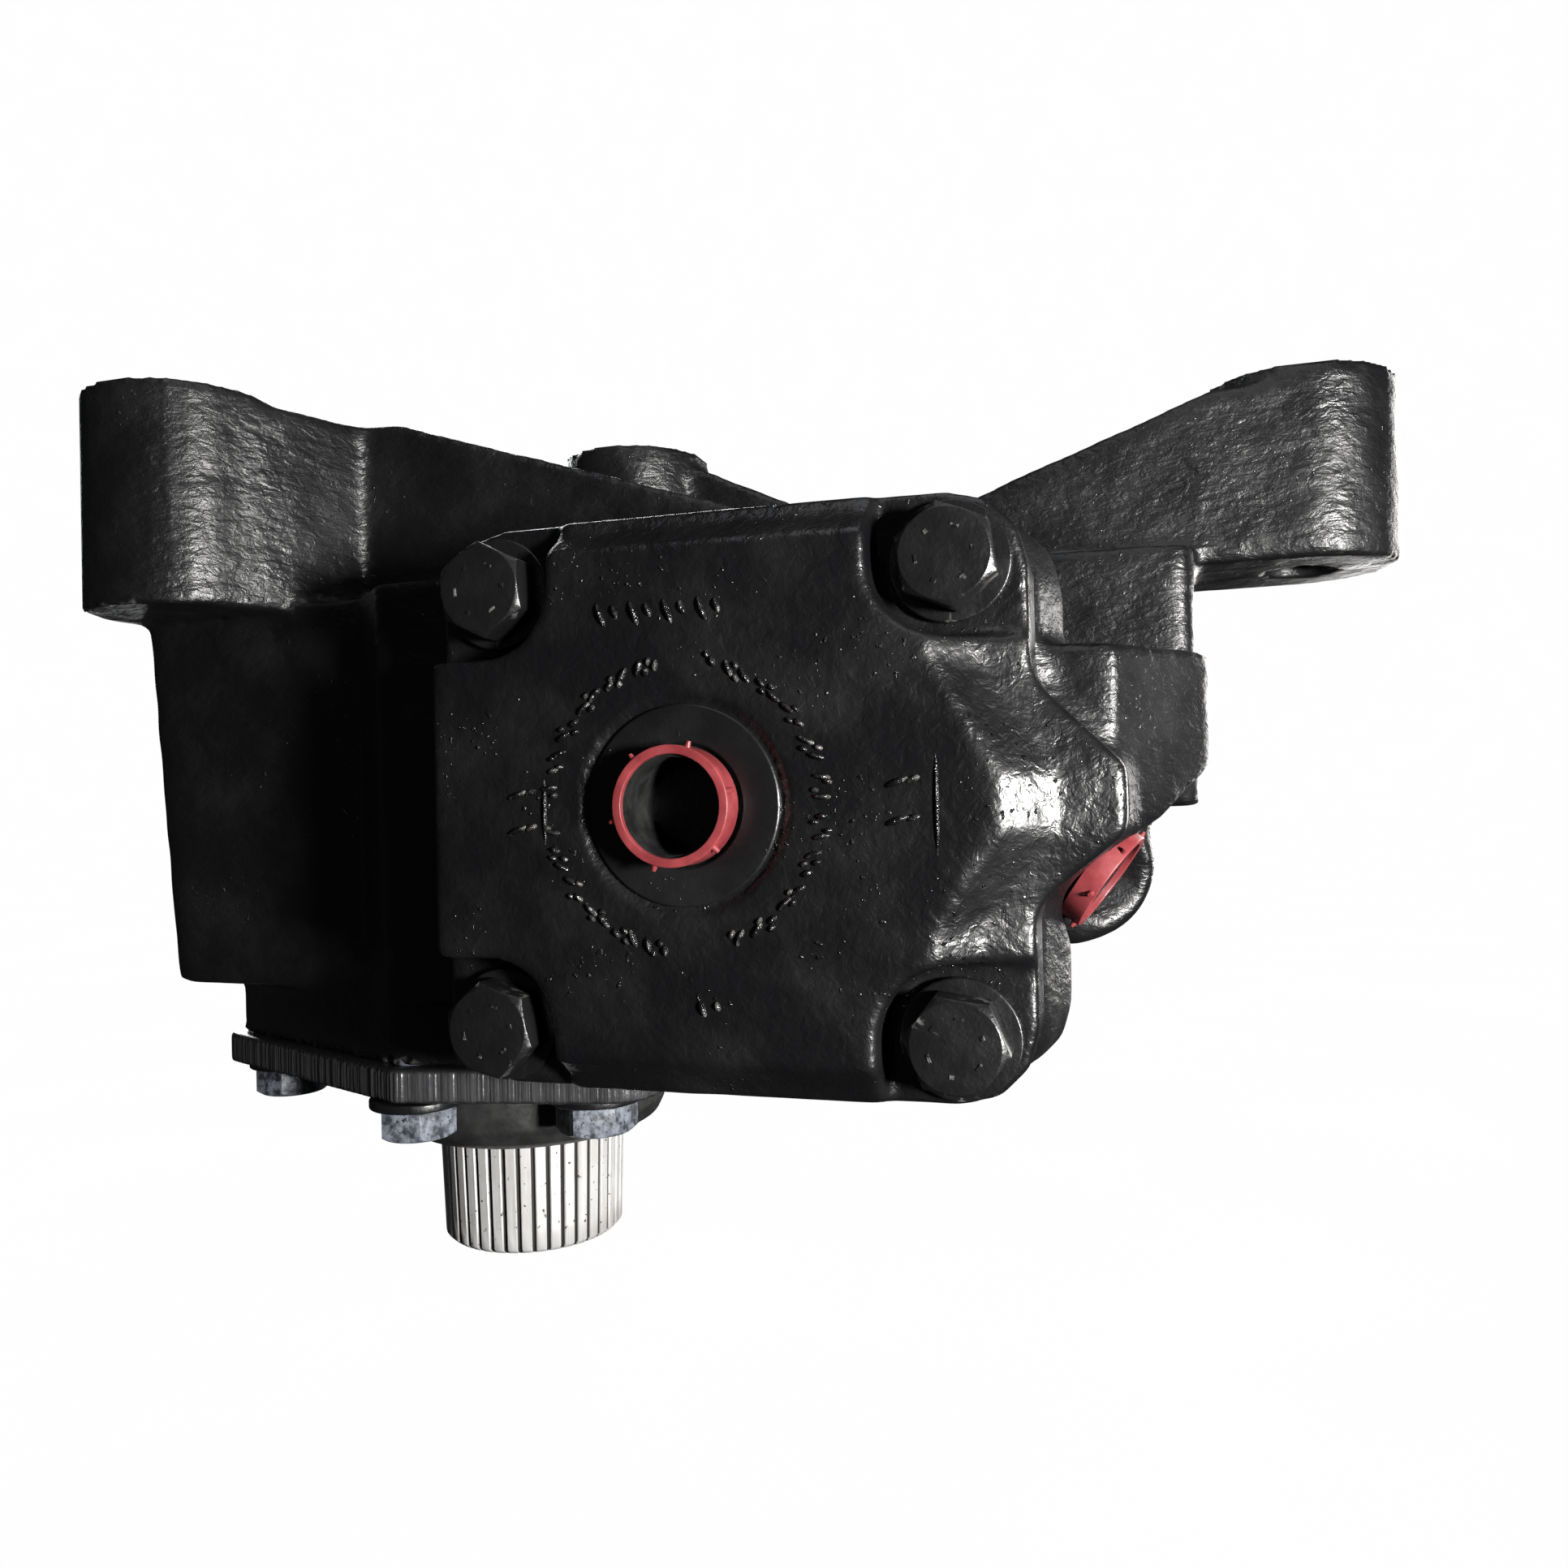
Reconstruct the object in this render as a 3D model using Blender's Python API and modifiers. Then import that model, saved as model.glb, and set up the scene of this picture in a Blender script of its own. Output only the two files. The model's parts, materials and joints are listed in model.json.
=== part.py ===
"""Hydraulic power steering gear of a heavy truck, modelled as an assembly.

The piston bore runs along Y, with the four-bolt cylinder head at -Y and the input shaft at +Y.
The sector shaft turns on a vertical axis beside the bore and leaves the housing downwards.
The origin lies in the frame-mounting plane, at the middle of the three mounting bosses.
"""

import math

import bmesh
import bpy
from mathutils import Matrix, Vector

WELD = 0.00001
GAP = 0.0003

# Offset from the bore's own frame (bore axis through 0, 0) to the mounting frame.
MOUNT_PLANE_Z = 0.1290
MOUNT_CENTRE = (-0.040, 0.123)

# Piston bore and housing barrel.
BORE_R = 0.0478
BARREL_R = 0.060
HEAD_JOINT_Y = 0.031
BARREL_END_Y = 0.228
FRONT_FLANGE_BACK_Y = 0.058
FRONT_FLANGE_DRAFT = 0.0055
REAR_FLANGE_Y = 0.206
REAR_FLANGE_R = 0.074

# Cylinder head.
HEAD_HALF_X = 0.0745
HEAD_TOP_Z = 0.071
HEAD_BOTTOM_Z = -0.070
HEAD_CORNER_R = 0.018
HEAD_BACK_Y = 0.030
HEAD_SHOULDER_Y = 0.010
LOBE_TIP_X = 0.0948
LOBE_TIP_Z = (-0.0078, 0.0070)
LOBE_ROOT_Z = (-0.0240, 0.0270)
CROWN_STEP_Y = 0.0078
BOLT_X = 0.0572
BOLT_Z = 0.0542
POCKET_R = 0.0175
SEAT_Y = 0.0125
PORT_X = -0.005
PORT_PAD_R = 0.024
PORT_R = 0.0126
PORT_CHAMFER_R = 0.0148

# Sector shaft.
SHAFT_X = -0.1023
SHAFT_Y = 0.108
PITCH_R = 0.059
MODULE = 0.009
SECTOR_HALF_Z = 0.0220
SECTOR_TIP_R = 0.0660
SECTOR_ROOT_R = 0.0500
UPPER_JOURNAL_R = 0.0280
LOWER_JOURNAL_R = 0.0310
SPLINE_TOP_R = 0.0308
SPLINE_END_R = 0.0293
SPLINE_TOP_Z = -0.0846
SPLINE_END_Z = -0.1420
SPLINE_TEETH = 40
SPLINE_DEPTH = 0.0014
BOOT_R = 0.0450
BOOT_BOTTOM_Z = -0.1058

# Rack piston.
PISTON_R = 0.0473
PISTON_FRONT_Y = 0.0545
PISTON_BACK_Y = 0.1850
RACK_PITCH_X = SHAFT_X + PITCH_R
WORM_BORE_R = 0.0158
RACK_ROOT_DEPTH = 0.0085
RACK_CUT_DEPTH = 0.0140
BACKLASH = 0.00025
PRESSURE_ANGLE = math.radians(25)
RING_GROOVE = (0.0580, 0.0618)
RING_R = (0.0446, 0.0475)

# Worm and input shaft.
WORM_R = 0.0150
WORM_TIP_Y = 0.1020
SCREW_LEAD = 0.0160
TRACK_R = 0.0152
TRACK_TUBE_R = 0.0036
BALL_R = 0.0024
BALL_COUNT = 12
BALL_STEP = 0.00064
TORSION_BAR_R = 0.0045
INPUT_START_Y = 0.2282
INPUT_R = 0.0140
INPUT_SPLINE_START_Y = 0.2700
INPUT_SPLINE_R = 0.0110
INPUT_SPLINE_TEETH = 30
INPUT_END_Y = 0.3120
PINCH_GROOVE = (0.2940, 0.3000)

# Gearcase, its neck and the output flange plate.
CASE_TOP_Z = 0.0655
CASE_BOTTOM_Z = -0.0555
CASE_LEFT_X = -0.2200
PLATE_TOP_Z = -0.0742
PLATE_BOTTOM_Z = -0.0842
CHAMBER_R = 0.0680
CHAMBER_HUB_R = 0.0480
CHAMBER_HALF_Z = 0.0255
HUB_R = 0.0430
HUB_BORE_R = 0.0383
UPPER_BEARING_R = 0.0350
PLATE_BOLTS = (
    (-0.1093, 0.0505),
    (-0.0588, 0.0655),
    (-0.1843, 0.0900),
    (-0.1843, 0.1260),
    (-0.1093, 0.1655),
    (-0.0588, 0.1505),
)

# Mounting bosses: axis X, axis Y and radius.
LEFT_BOSS = (-0.1900, 0.0515, 0.0290)
FAR_BOSS = (-0.0814, 0.1610, 0.0270)
RIGHT_BOSS = (0.1505, 0.1566, 0.0295)
LEFT_BOSS_BOTTOM_Z = 0.0625
RIGHT_BOSS_BOTTOM_Z = 0.0705
BOSS_HOLE_R = 0.0105

# M14 hexagon screws.
SCREW_R = 0.0070
HEX_R = 0.0121
HEX_HEIGHT = 0.0088
WASHER_R = 0.0140
WASHER_THICKNESS = 0.0025

# Oil gallery, right-hand block and side port.
GALLERY = (0.078, -0.0170)
GALLERY_R = 0.0240
PASSAGE = (0.079, -0.008)
PASSAGE_R = 0.0050
SIDE_PORT_FACE = (0.0890, 0.0575, -0.0212)
SIDE_PORT_AXIS = (0.80, -0.12, -0.59)

# Bearing cap.
CAP_BACK_Y = 0.2750
CAP_FLANGE_R = 0.0740
CAP_FLANGE_BACK_Y = 0.2460
CAP_BODY_R = 0.0420
CAP_BOLT_R = 0.0625
CAP_CAVITY_R = 0.0243
CAP_CAVITY_END_Y = 0.2610
CAP_SEAL_R = 0.0203
RETURN_PORT = (0.2615, 0.0040)
RETURN_PORT_FACE_X = 0.0540

# Mesh adjuster above the sector shaft.
ADJUSTER_R = 0.0080
ADJUSTER_NUT_R = 0.0138
ADJUSTER_NUT_Z = (0.0703, 0.0795)
ADJUSTER_END_Z = 0.0900

AXIS_ROTATION = {
    "X": Matrix.Rotation(math.pi / 2, 4, "Y"),
    "Y": Matrix.Rotation(-math.pi / 2, 4, "X"),
    "Z": Matrix.Identity(4),
}


def clear_scene():
    for old in list(bpy.data.objects):
        bpy.data.objects.remove(old, do_unlink=True)


def new_collection(name):
    made = bpy.data.collections.new(name)
    bpy.context.scene.collection.children.link(made)
    return made


clear_scene()
PARTS = new_collection("power_steering_gear")
CUTTERS = new_collection("cutters")
FRAME = bpy.data.objects.new("gear_frame", None)
FRAME.location = (-MOUNT_CENTRE[0], -MOUNT_CENTRE[1], -MOUNT_PLANE_Z)
PARTS.objects.link(FRAME)


def make_material(name, colour, roughness, metallic):
    made = bpy.data.materials.new(name)
    made.use_nodes = True
    shader = made.node_tree.nodes["Principled BSDF"]
    shader.inputs["Base Color"].default_value = (*colour, 1.0)
    shader.inputs["Roughness"].default_value = roughness
    shader.inputs["Metallic"].default_value = metallic
    return made


BLACK_CAST = make_material("black_painted_casting", (0.018, 0.018, 0.020), 0.32, 0.0)
BLACK_BOLT = make_material("black_painted_steel", (0.020, 0.020, 0.022), 0.28, 0.0)
BARE_STEEL = make_material("machined_steel", (0.62, 0.62, 0.63), 0.28, 1.0)
BEARING_STEEL = make_material("bearing_steel", (0.55, 0.55, 0.57), 0.20, 1.0)
BLACK_RUBBER = make_material("black_rubber", (0.012, 0.012, 0.012), 0.55, 0.0)
RED_PLASTIC = make_material("red_plastic", (0.62, 0.10, 0.09), 0.40, 0.0)
GASKET_GREY = make_material("gasket_sheet", (0.16, 0.16, 0.17), 0.70, 0.0)


def place(obj, finish):
    """Puts a finished piece in the parts collection, on the assembly's frame, in its own material."""
    PARTS.objects.link(obj)
    obj.parent = FRAME
    if not obj.data.materials:
        own = finish.copy()
        own.name = f"{obj.name}_{finish.name}"
        obj.data.materials.append(own)
        obj.data.shade_smooth()
        obj.data.set_sharp_from_angle(angle=math.radians(35))
    return obj


def tool(obj):
    """Puts a shape that only cuts or joins in the cutters collection."""
    CUTTERS.objects.link(obj)
    obj.parent = FRAME
    obj.hide_render = True
    obj.display_type = "WIRE"
    return obj


def object_from(name, shape, location=(0, 0, 0)):
    mesh = bpy.data.meshes.new(name)
    shape.to_mesh(mesh)
    shape.free()
    obj = bpy.data.objects.new(name, mesh)
    obj.location = location
    return obj


def cylinder(name, radius, start, end, centre, axis="Z", segments=32, end_radius=None):
    """A cylinder or cone between two stations on the named axis."""
    shape = bmesh.new()
    bmesh.ops.create_cone(
        shape,
        cap_ends=True,
        segments=segments,
        radius1=radius,
        radius2=radius if end_radius is None else end_radius,
        depth=end - start,
    )
    bmesh.ops.transform(shape, matrix=AXIS_ROTATION[axis], verts=shape.verts)
    middle = (start + end) / 2
    location = {
        "X": (middle, centre[0], centre[1]),
        "Y": (centre[0], middle, centre[1]),
        "Z": (centre[0], centre[1], middle),
    }[axis]
    return object_from(name, shape, location)


def rod_between(name, radius, first, last, segments=32):
    """A cylinder between two points."""
    first = Vector(first)
    last = Vector(last)
    run = last - first
    shape = bmesh.new()
    bmesh.ops.create_cone(
        shape,
        cap_ends=True,
        segments=segments,
        radius1=radius,
        radius2=radius,
        depth=run.length,
    )
    turn = run.to_track_quat("Z", "Y").to_matrix().to_4x4()
    bmesh.ops.transform(shape, matrix=turn, verts=shape.verts)
    return object_from(name, shape, (first + last) / 2)


def block(name, low, high):
    shape = bmesh.new()
    bmesh.ops.create_cube(shape, size=1.0)
    size = [b - a for a, b in zip(low, high)]
    bmesh.ops.scale(shape, vec=size, verts=shape.verts)
    centre = [(a + b) / 2 for a, b in zip(low, high)]
    return object_from(name, shape, centre)


def rounded(points, radii, steps=3):
    """A closed outline whose corners are replaced by arcs of the given radii."""
    outline = []
    count = len(points)
    for index, (corner, radius) in enumerate(zip(points, radii)):
        here = Vector(corner)
        if radius == 0:
            outline.append(tuple(here))
            continue
        before = (Vector(points[index - 1]) - here).normalized()
        after = (Vector(points[(index + 1) % count]) - here).normalized()
        half = before.angle(after) / 2
        bisector = (before + after).normalized()
        centre = here + bisector * (radius / math.sin(half))
        start = here + before * (radius / math.tan(half)) - centre
        end = here + after * (radius / math.tan(half)) - centre
        sweep = start.angle_signed(end)
        for step in range(steps + 1):
            turn = -sweep * step / steps
            cosine = math.cos(turn)
            sine = math.sin(turn)
            outline.append(
                (
                    centre.x + start.x * cosine - start.y * sine,
                    centre.y + start.x * sine + start.y * cosine,
                )
            )
    return outline


def slab(name, outline, low, high, axis="Z"):
    """An outline extruded along Z, or an X-Z outline extruded along Y."""
    curve = bpy.data.curves.new(name, "CURVE")
    curve.dimensions = "2D"
    curve.fill_mode = "BOTH"
    curve.extrude = (high - low) / 2
    line = curve.splines.new("POLY")
    line.points.add(len(outline) - 1)
    for point, (x, y) in zip(line.points, outline):
        point.co = (x, y, 0, 1)
    line.use_cyclic_u = True
    guide = bpy.data.objects.new(name + "_curve", curve)
    bpy.context.scene.collection.objects.link(guide)
    bpy.context.view_layer.update()
    graph = bpy.context.evaluated_depsgraph_get()
    mesh = bpy.data.meshes.new_from_object(guide.evaluated_get(graph))
    bpy.data.objects.remove(guide, do_unlink=True)
    shape = bmesh.new()
    shape.from_mesh(mesh)
    bpy.data.meshes.remove(mesh)
    bmesh.ops.remove_doubles(shape, verts=shape.verts, dist=WELD)
    if axis == "Y":
        bmesh.ops.transform(shape, matrix=Matrix.Rotation(math.pi / 2, 4, "X"), verts=shape.verts)
    bmesh.ops.recalc_face_normals(shape, faces=shape.faces)
    middle = (low + high) / 2
    return object_from(name, shape, (0, middle, 0) if axis == "Y" else (0, 0, middle))


def turned(name, profile, location, axis="Z", steps=32):
    """A turned ring or plug: a radius-height profile with a Screw modifier about its own axis."""
    mesh = bpy.data.meshes.new(name)
    corners = [(radius, 0, height) for radius, height in profile]
    closed = profile[0][0] > WELD
    edges = [(index, index + 1) for index in range(len(corners) - 1)]
    if closed:
        edges.append((len(corners) - 1, 0))
    mesh.from_pydata(corners, edges, [])
    obj = bpy.data.objects.new(name, mesh)
    screw = obj.modifiers.new("turn", "SCREW")
    screw.axis = "Z"
    screw.steps = steps
    screw.render_steps = steps
    screw.use_merge_vertices = True
    screw.merge_threshold = 0.00001
    obj.matrix_basis = Matrix.Translation(location) @ AXIS_ROTATION[axis]
    return obj


def ring_profile(inner, outer, low, high):
    return [(outer, high), (outer, low), (inner, low), (inner, high)]


def boolean(obj, other, operation):
    if other.name not in CUTTERS.objects:
        tool(other)
    step = obj.modifiers.new(other.name, "BOOLEAN")
    step.operation = operation
    step.object = other
    step.solver = "EXACT"


def join(obj, *others):
    for other in others:
        boolean(obj, other, "UNION")


def cut(obj, *others):
    for other in others:
        boolean(obj, other, "DIFFERENCE")


def lofted(name, outlines, location=(0, 0, 0)):
    """A solid through outlines with the same number of corners, capped at both ends."""
    shape = bmesh.new()
    loops = [[shape.verts.new(point) for point in outline] for outline in outlines]
    count = len(outlines[0])
    for lower, upper in zip(loops, loops[1:]):
        for index in range(count):
            following = (index + 1) % count
            shape.faces.new((lower[index], lower[following], upper[following], upper[index]))
    shape.faces.new(loops[0])
    shape.faces.new(loops[-1])
    bmesh.ops.recalc_face_normals(shape, faces=shape.faces)
    bmesh.ops.triangulate(shape, faces=shape.faces)
    return object_from(name, shape, location)


def head_outline(inset=0.0):
    """The cylinder head's outline in X-Z: a rounded rectangle with the oil-passage lobe on its right."""
    side = HEAD_HALF_X - inset
    top = HEAD_TOP_Z - inset
    bottom = HEAD_BOTTOM_Z + inset
    tip = LOBE_TIP_X - inset
    corners = [
        (-side, bottom),
        (side, bottom),
        (side, LOBE_ROOT_Z[0] + inset),
        (tip, LOBE_TIP_Z[0]),
        (tip, LOBE_TIP_Z[1]),
        (side, LOBE_ROOT_Z[1] - inset),
        (side, top),
        (-side, top),
    ]
    radii = [HEAD_CORNER_R, HEAD_CORNER_R, 0.010, 0.005, 0.005, 0.014, HEAD_CORNER_R, HEAD_CORNER_R]
    return rounded(corners, radii)


def head_bolt_centres():
    return [(x, z) for x in (-BOLT_X, BOLT_X) for z in (-BOLT_Z, BOLT_Z)]


def cap_bolt_centres():
    reach = CAP_BOLT_R / math.sqrt(2)
    return [(x, z) for x in (-reach, reach) for z in (-reach, reach)]


def case_outline(left_inset=0.0, side_inset=0.0):
    """The gearcase in plan, drawn in at its left end and at its front and back."""
    left = CASE_LEFT_X + left_inset
    front = 0.036 + side_inset
    back = 0.178 - side_inset
    corners = [
        (left, 0.0600 + side_inset),
        (-0.1300, 0.0545 + side_inset),
        (-0.1110, front),
        (-0.0585, front),
        (-0.0320, 0.0545),
        (-0.0320, 0.1595),
        (-0.0585, back),
        (-0.1110, back),
        (left, 0.142 - side_inset),
    ]
    return rounded(corners, [0.012, 0.0, 0.0, 0.0, 0.0, 0.0, 0.0, 0.020, 0.016])


def plate_outline(inset=0.0):
    """The output flange plate in plan."""
    left = -0.2003 + inset
    middle = -0.1093
    right = -0.0373 - inset
    corners = [
        (left, 0.077 + inset / 2),
        (middle, 0.037 + inset),
        (right, 0.050 + inset),
        (right, 0.166 - inset),
        (middle, 0.179 - inset),
        (left, 0.139 - inset / 2),
    ]
    return rounded(corners, [0.006, 0.005, 0.012, 0.012, 0.006, 0.006], 3)


def flange_outlines():
    """The housing's front flange: level with the head at the joint, its right side drafted outwards."""
    stations = (
        (HEAD_JOINT_Y, 0.0),
        (FRONT_FLANGE_BACK_Y - 0.008, FRONT_FLANGE_DRAFT),
        (FRONT_FLANGE_BACK_Y, FRONT_FLANGE_DRAFT),
    )
    return [
        [(x + draft if x > 0 else x, y, z) for x, z in head_outline()]
        for y, draft in stations
    ]


def housing():
    body = lofted("housing", flange_outlines())
    place(body, BLACK_CAST)
    join(body, cylinder("barrel", BARREL_R, 0.050, 0.215, (0, 0), "Y", 48))
    join(body, cylinder("rear_flange", REAR_FLANGE_R, REAR_FLANGE_Y, BARREL_END_Y, (0, 0), "Y", 48))
    low = [(x, y, CASE_BOTTOM_Z) for x, y in case_outline(0.008, 0.002)]
    high = [(x, y, CASE_TOP_Z) for x, y in case_outline()]
    join(body, lofted("gearcase", [low, high]))
    join(body, slab("neck", plate_outline(0.004), PLATE_TOP_Z + GAP, CASE_BOTTOM_Z + 0.010))
    join_left_arm(body)
    join_right_arm(body)
    join_far_arm(body)
    join_right_block(body)
    upper_boss = cylinder("upper_bearing_boss", 0.042, 0.050, 0.070, (SHAFT_X, SHAFT_Y), "Z")
    join(body, upper_boss)
    cut_housing_cavities(body)
    cut_housing_holes(body)
    return body


def join_left_arm(body):
    x, y, radius = LEFT_BOSS
    join(body, cylinder("left_boss", radius, LEFT_BOSS_BOTTOM_Z, MOUNT_PLANE_Z, (x, y), "Z"))
    start = math.radians(-42)
    flank = [
        (x + radius * math.cos(start), y + radius * math.sin(start)),
        (-0.1540, 0.0560),
        (-0.1440, 0.0790),
        (-0.1440, 0.1010),
        (-0.1700, 0.1010),
        (x, y + radius),
        (x, y),
    ]
    join(body, slab("left_arm_flank", flank, LEFT_BOSS_BOTTOM_Z, MOUNT_PLANE_Z - 0.0022, "Z"))
    web = [
        (-0.1480, 0.0500),
        (-0.0120, 0.0500),
        (-0.0120, 0.0880),
        (-0.1335, 0.1268),
        (-0.1480, 0.1268),
    ]
    join(body, slab("left_arm_web", web, 0.0795, 0.1000, "Y"))


def join_right_arm(body):
    x, y, radius = RIGHT_BOSS
    join(body, cylinder("right_boss", radius, RIGHT_BOSS_BOTTOM_Z, MOUNT_PLANE_Z, (x, y), "Z"))
    web = [
        (0.0, 0.0400),
        (0.0600, 0.0610),
        (0.1100, RIGHT_BOSS_BOTTOM_Z),
        (x, RIGHT_BOSS_BOTTOM_Z),
        (x, 0.1245),
        (0.1240, 0.1245),
        (0.0300, 0.0903),
        (0.0, 0.0795),
    ]
    join(body, slab("right_arm_web", web, y - radius + 0.0005, y + radius - 0.0005, "Y"))


def join_far_arm(body):
    x, y, radius = FAR_BOSS
    join(body, cylinder("far_boss", radius, 0.0450, MOUNT_PLANE_Z, (x, y), "Z"))
    web = [
        (x, 0.0450),
        (0.0120, 0.0450),
        (0.0120, 0.0925),
        (-0.0531, 0.1227),
        (x, 0.1245),
    ]
    join(body, slab("far_arm_web", web, y - 0.011, y + 0.011, "Y"))


def join_right_block(body):
    front = [
        (0.0500, 0.0330),
        (0.0925, 0.0330),
        (0.0945, 0.0360),
        (0.1160, 0.0660),
        (0.1160, 0.1200),
        (0.0500, 0.1200),
    ]
    plan = rounded(front, [0, 0.0015, 0.002, 0.006, 0, 0])
    right_block = slab("right_block", plan, -0.0060, 0.0370, "Z")
    wedge = [(0.1030, -0.0100), (0.1250, -0.0100), (0.1250, 0.0167), (0.1030, -0.0053)]
    cut(right_block, slab("right_block_chamfer", wedge, 0.0, 0.1500, "Y"))
    join(body, right_block)
    corners = [(0.0450, 0.1120), (0.1160, 0.1120), (0.1160, 0.1780), (0.0450, 0.1780)]
    column = rounded(corners, [0, 0.006, 0.012, 0])
    join(body, slab("right_column", column, -0.0040, RIGHT_BOSS_BOTTOM_Z + 0.0040, "Z"))
    join(body, oil_gallery())
    face = Vector(SIDE_PORT_FACE)
    axis = Vector(SIDE_PORT_AXIS).normalized()
    join(body, rod_between("side_port_boss", 0.0165, face - axis * 0.034, face - axis * 0.0030))
    cut(body, rod_between("side_port_spot_face", 0.0172, face - axis * 0.0045, face + axis * 0.030))


def oil_gallery():
    """The round gallery beside the barrel, with a rounded front end."""
    start = 0.068
    end = 0.212
    profile = [
        (0.0, end),
        (GALLERY_R, end),
        (GALLERY_R, start + 0.0080),
        (GALLERY_R - 0.0023, start + 0.0024),
        (GALLERY_R - 0.0080, start),
        (0.0, start),
    ]
    return turned("gallery", profile, (GALLERY[0], 0.0, GALLERY[1]), "Y")


def about_shaft(polar):
    """Plan points from pairs of radius and angle in degrees about the sector shaft's axis."""
    turned_points = [(radius, math.radians(angle)) for radius, angle in polar]
    return [
        (SHAFT_X + radius * math.cos(angle), SHAFT_Y + radius * math.sin(angle))
        for radius, angle in turned_points
    ]


def arc(radius, first, last, steps):
    return [(radius, first + (last - first) * step / steps) for step in range(steps + 1)]


def chamber_outline():
    """Room for the teeth to swing towards the piston, and for the shaft's hub behind."""
    return about_shaft(arc(CHAMBER_R, -71, 71, 16) + arc(CHAMBER_HUB_R, 86, 274, 16))


def way_in_outline():
    """The opening that the teeth pass through when the shaft is put in from below."""
    teeth = arc(CHAMBER_R - 0.0015, -31.5, 31.5, 8)
    after = [(0.0540, 37.5), (0.0508, 43), (0.0200, 60)]
    before = [(0.0200, -60), (0.0508, -43), (0.0540, -37.5)]
    return about_shaft(before + teeth + after)


def cut_housing_cavities(body):
    cut(body, cylinder("main_bore", BORE_R, 0.020, 0.240, (0, 0), "Y", 48))
    centre = (SHAFT_X, SHAFT_Y)
    cut(body, slab("sector_chamber", chamber_outline(), -CHAMBER_HALF_Z, CHAMBER_HALF_Z, "Z"))
    cut(body, cylinder("hub_opening", HUB_R + GAP, -0.090, 0.0, centre, "Z", 40))
    cut(body, slab("sector_way_in", way_in_outline(), -0.090, 0.001, "Z"))
    cut(body, cylinder("upper_bearing_bore", UPPER_BEARING_R, 0.0, 0.058, centre, "Z", 36))
    cut(body, cylinder("adjuster_hole", ADJUSTER_R + GAP, 0.050, 0.080, centre, "Z", 24))
    cut(body, cylinder("adjuster_spot_face", 0.0160, 0.0698, 0.128, centre, "Z", 32))


def cut_housing_holes(body):
    holes = (("left", LEFT_BOSS, 0.068), ("far", FAR_BOSS, 0.062), ("right", RIGHT_BOSS, 0.050))
    for name, boss, low in holes:
        cut(body, cylinder(name + "_boss_hole", BOSS_HOLE_R, low, 0.140, boss[:2], "Z", 32))
    for index, centre in enumerate(head_bolt_centres()):
        cut(body, cylinder(f"head_tapping_{index}", SCREW_R + GAP, 0.025, 0.0565, centre, "Y", 14))
    for index, centre in enumerate(cap_bolt_centres()):
        cut(body, cylinder(f"cap_tapping_{index}", SCREW_R + GAP, 0.2065, 0.235, centre, "Y", 14))
    for index, centre in enumerate(PLATE_BOLTS):
        cut(body, cylinder(f"plate_tapping_{index}", SCREW_R + GAP, -0.080, -0.056, centre, "Z", 14))
    cut(body, cylinder("oil_passage", PASSAGE_R, 0.025, 0.200, PASSAGE, "Y", 16))
    face = Vector(SIDE_PORT_FACE)
    axis = Vector(SIDE_PORT_AXIS).normalized()
    cut(body, rod_between("side_port_bore", PORT_R, face - axis * 0.018, face + axis * 0.005, 32))


def cylinder_head():
    base = slab("cylinder_head", head_outline(), HEAD_SHOULDER_Y, HEAD_BACK_Y, "Y")
    place(base, BLACK_CAST)
    join(base, lofted("head_crown", crown_outlines()))
    cut_head_pockets(base)
    cut(base, cylinder("head_recess", BORE_R, SEAT_Y - 0.0005, 0.040, (0, 0), "Y", 48))
    cut(base, cylinder("head_port_pad", PORT_PAD_R, -0.010, 0.0008, (PORT_X, 0), "Y", 48))
    cut(base, cylinder("head_port", PORT_R, -0.010, 0.020, (PORT_X, 0), "Y", 48))
    wide = PORT_CHAMFER_R + 0.001
    cut(base, cylinder("head_port_chamfer", wide, -0.0002, 0.0036, (PORT_X, 0), "Y", 48, 0.0120))
    cut(base, cylinder("head_passage", PASSAGE_R, 0.0170, 0.040, PASSAGE, "Y", 16))
    return base


def crown_outlines():
    """The crown's sections: the face reaches out along the lobe and falls away above and below it."""
    face = crown_outline(0.0500, 0.0530, 0.0675, 0.0100)
    step = crown_outline(0.0600, 0.0640, 0.0800, 0.0042)
    foot = head_outline(0.0003)
    sections = ((0.0, face), (CROWN_STEP_Y, step), (HEAD_SHOULDER_Y + 0.0005, foot))
    return [[(x, y, z) for x, z in outline] for y, outline in sections]


def crown_outline(corner_x, neck_x, tip_x, inset):
    """One section of the crown, with as many corners as the head's outline."""
    side = HEAD_HALF_X - inset * 0.4
    top = HEAD_TOP_Z - inset
    bottom = HEAD_BOTTOM_Z + inset
    corners = [
        (-side, bottom),
        (corner_x, bottom),
        (neck_x, LOBE_ROOT_Z[0] - inset / 2),
        (tip_x, LOBE_TIP_Z[0] + 0.0010),
        (tip_x, LOBE_TIP_Z[1] - 0.0010),
        (neck_x, LOBE_ROOT_Z[1] + inset / 2),
        (corner_x, top),
        (-side, top),
    ]
    return rounded(corners, [HEAD_CORNER_R, 0.010, 0.010, 0.004, 0.004, 0.010, 0.010, HEAD_CORNER_R])


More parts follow.
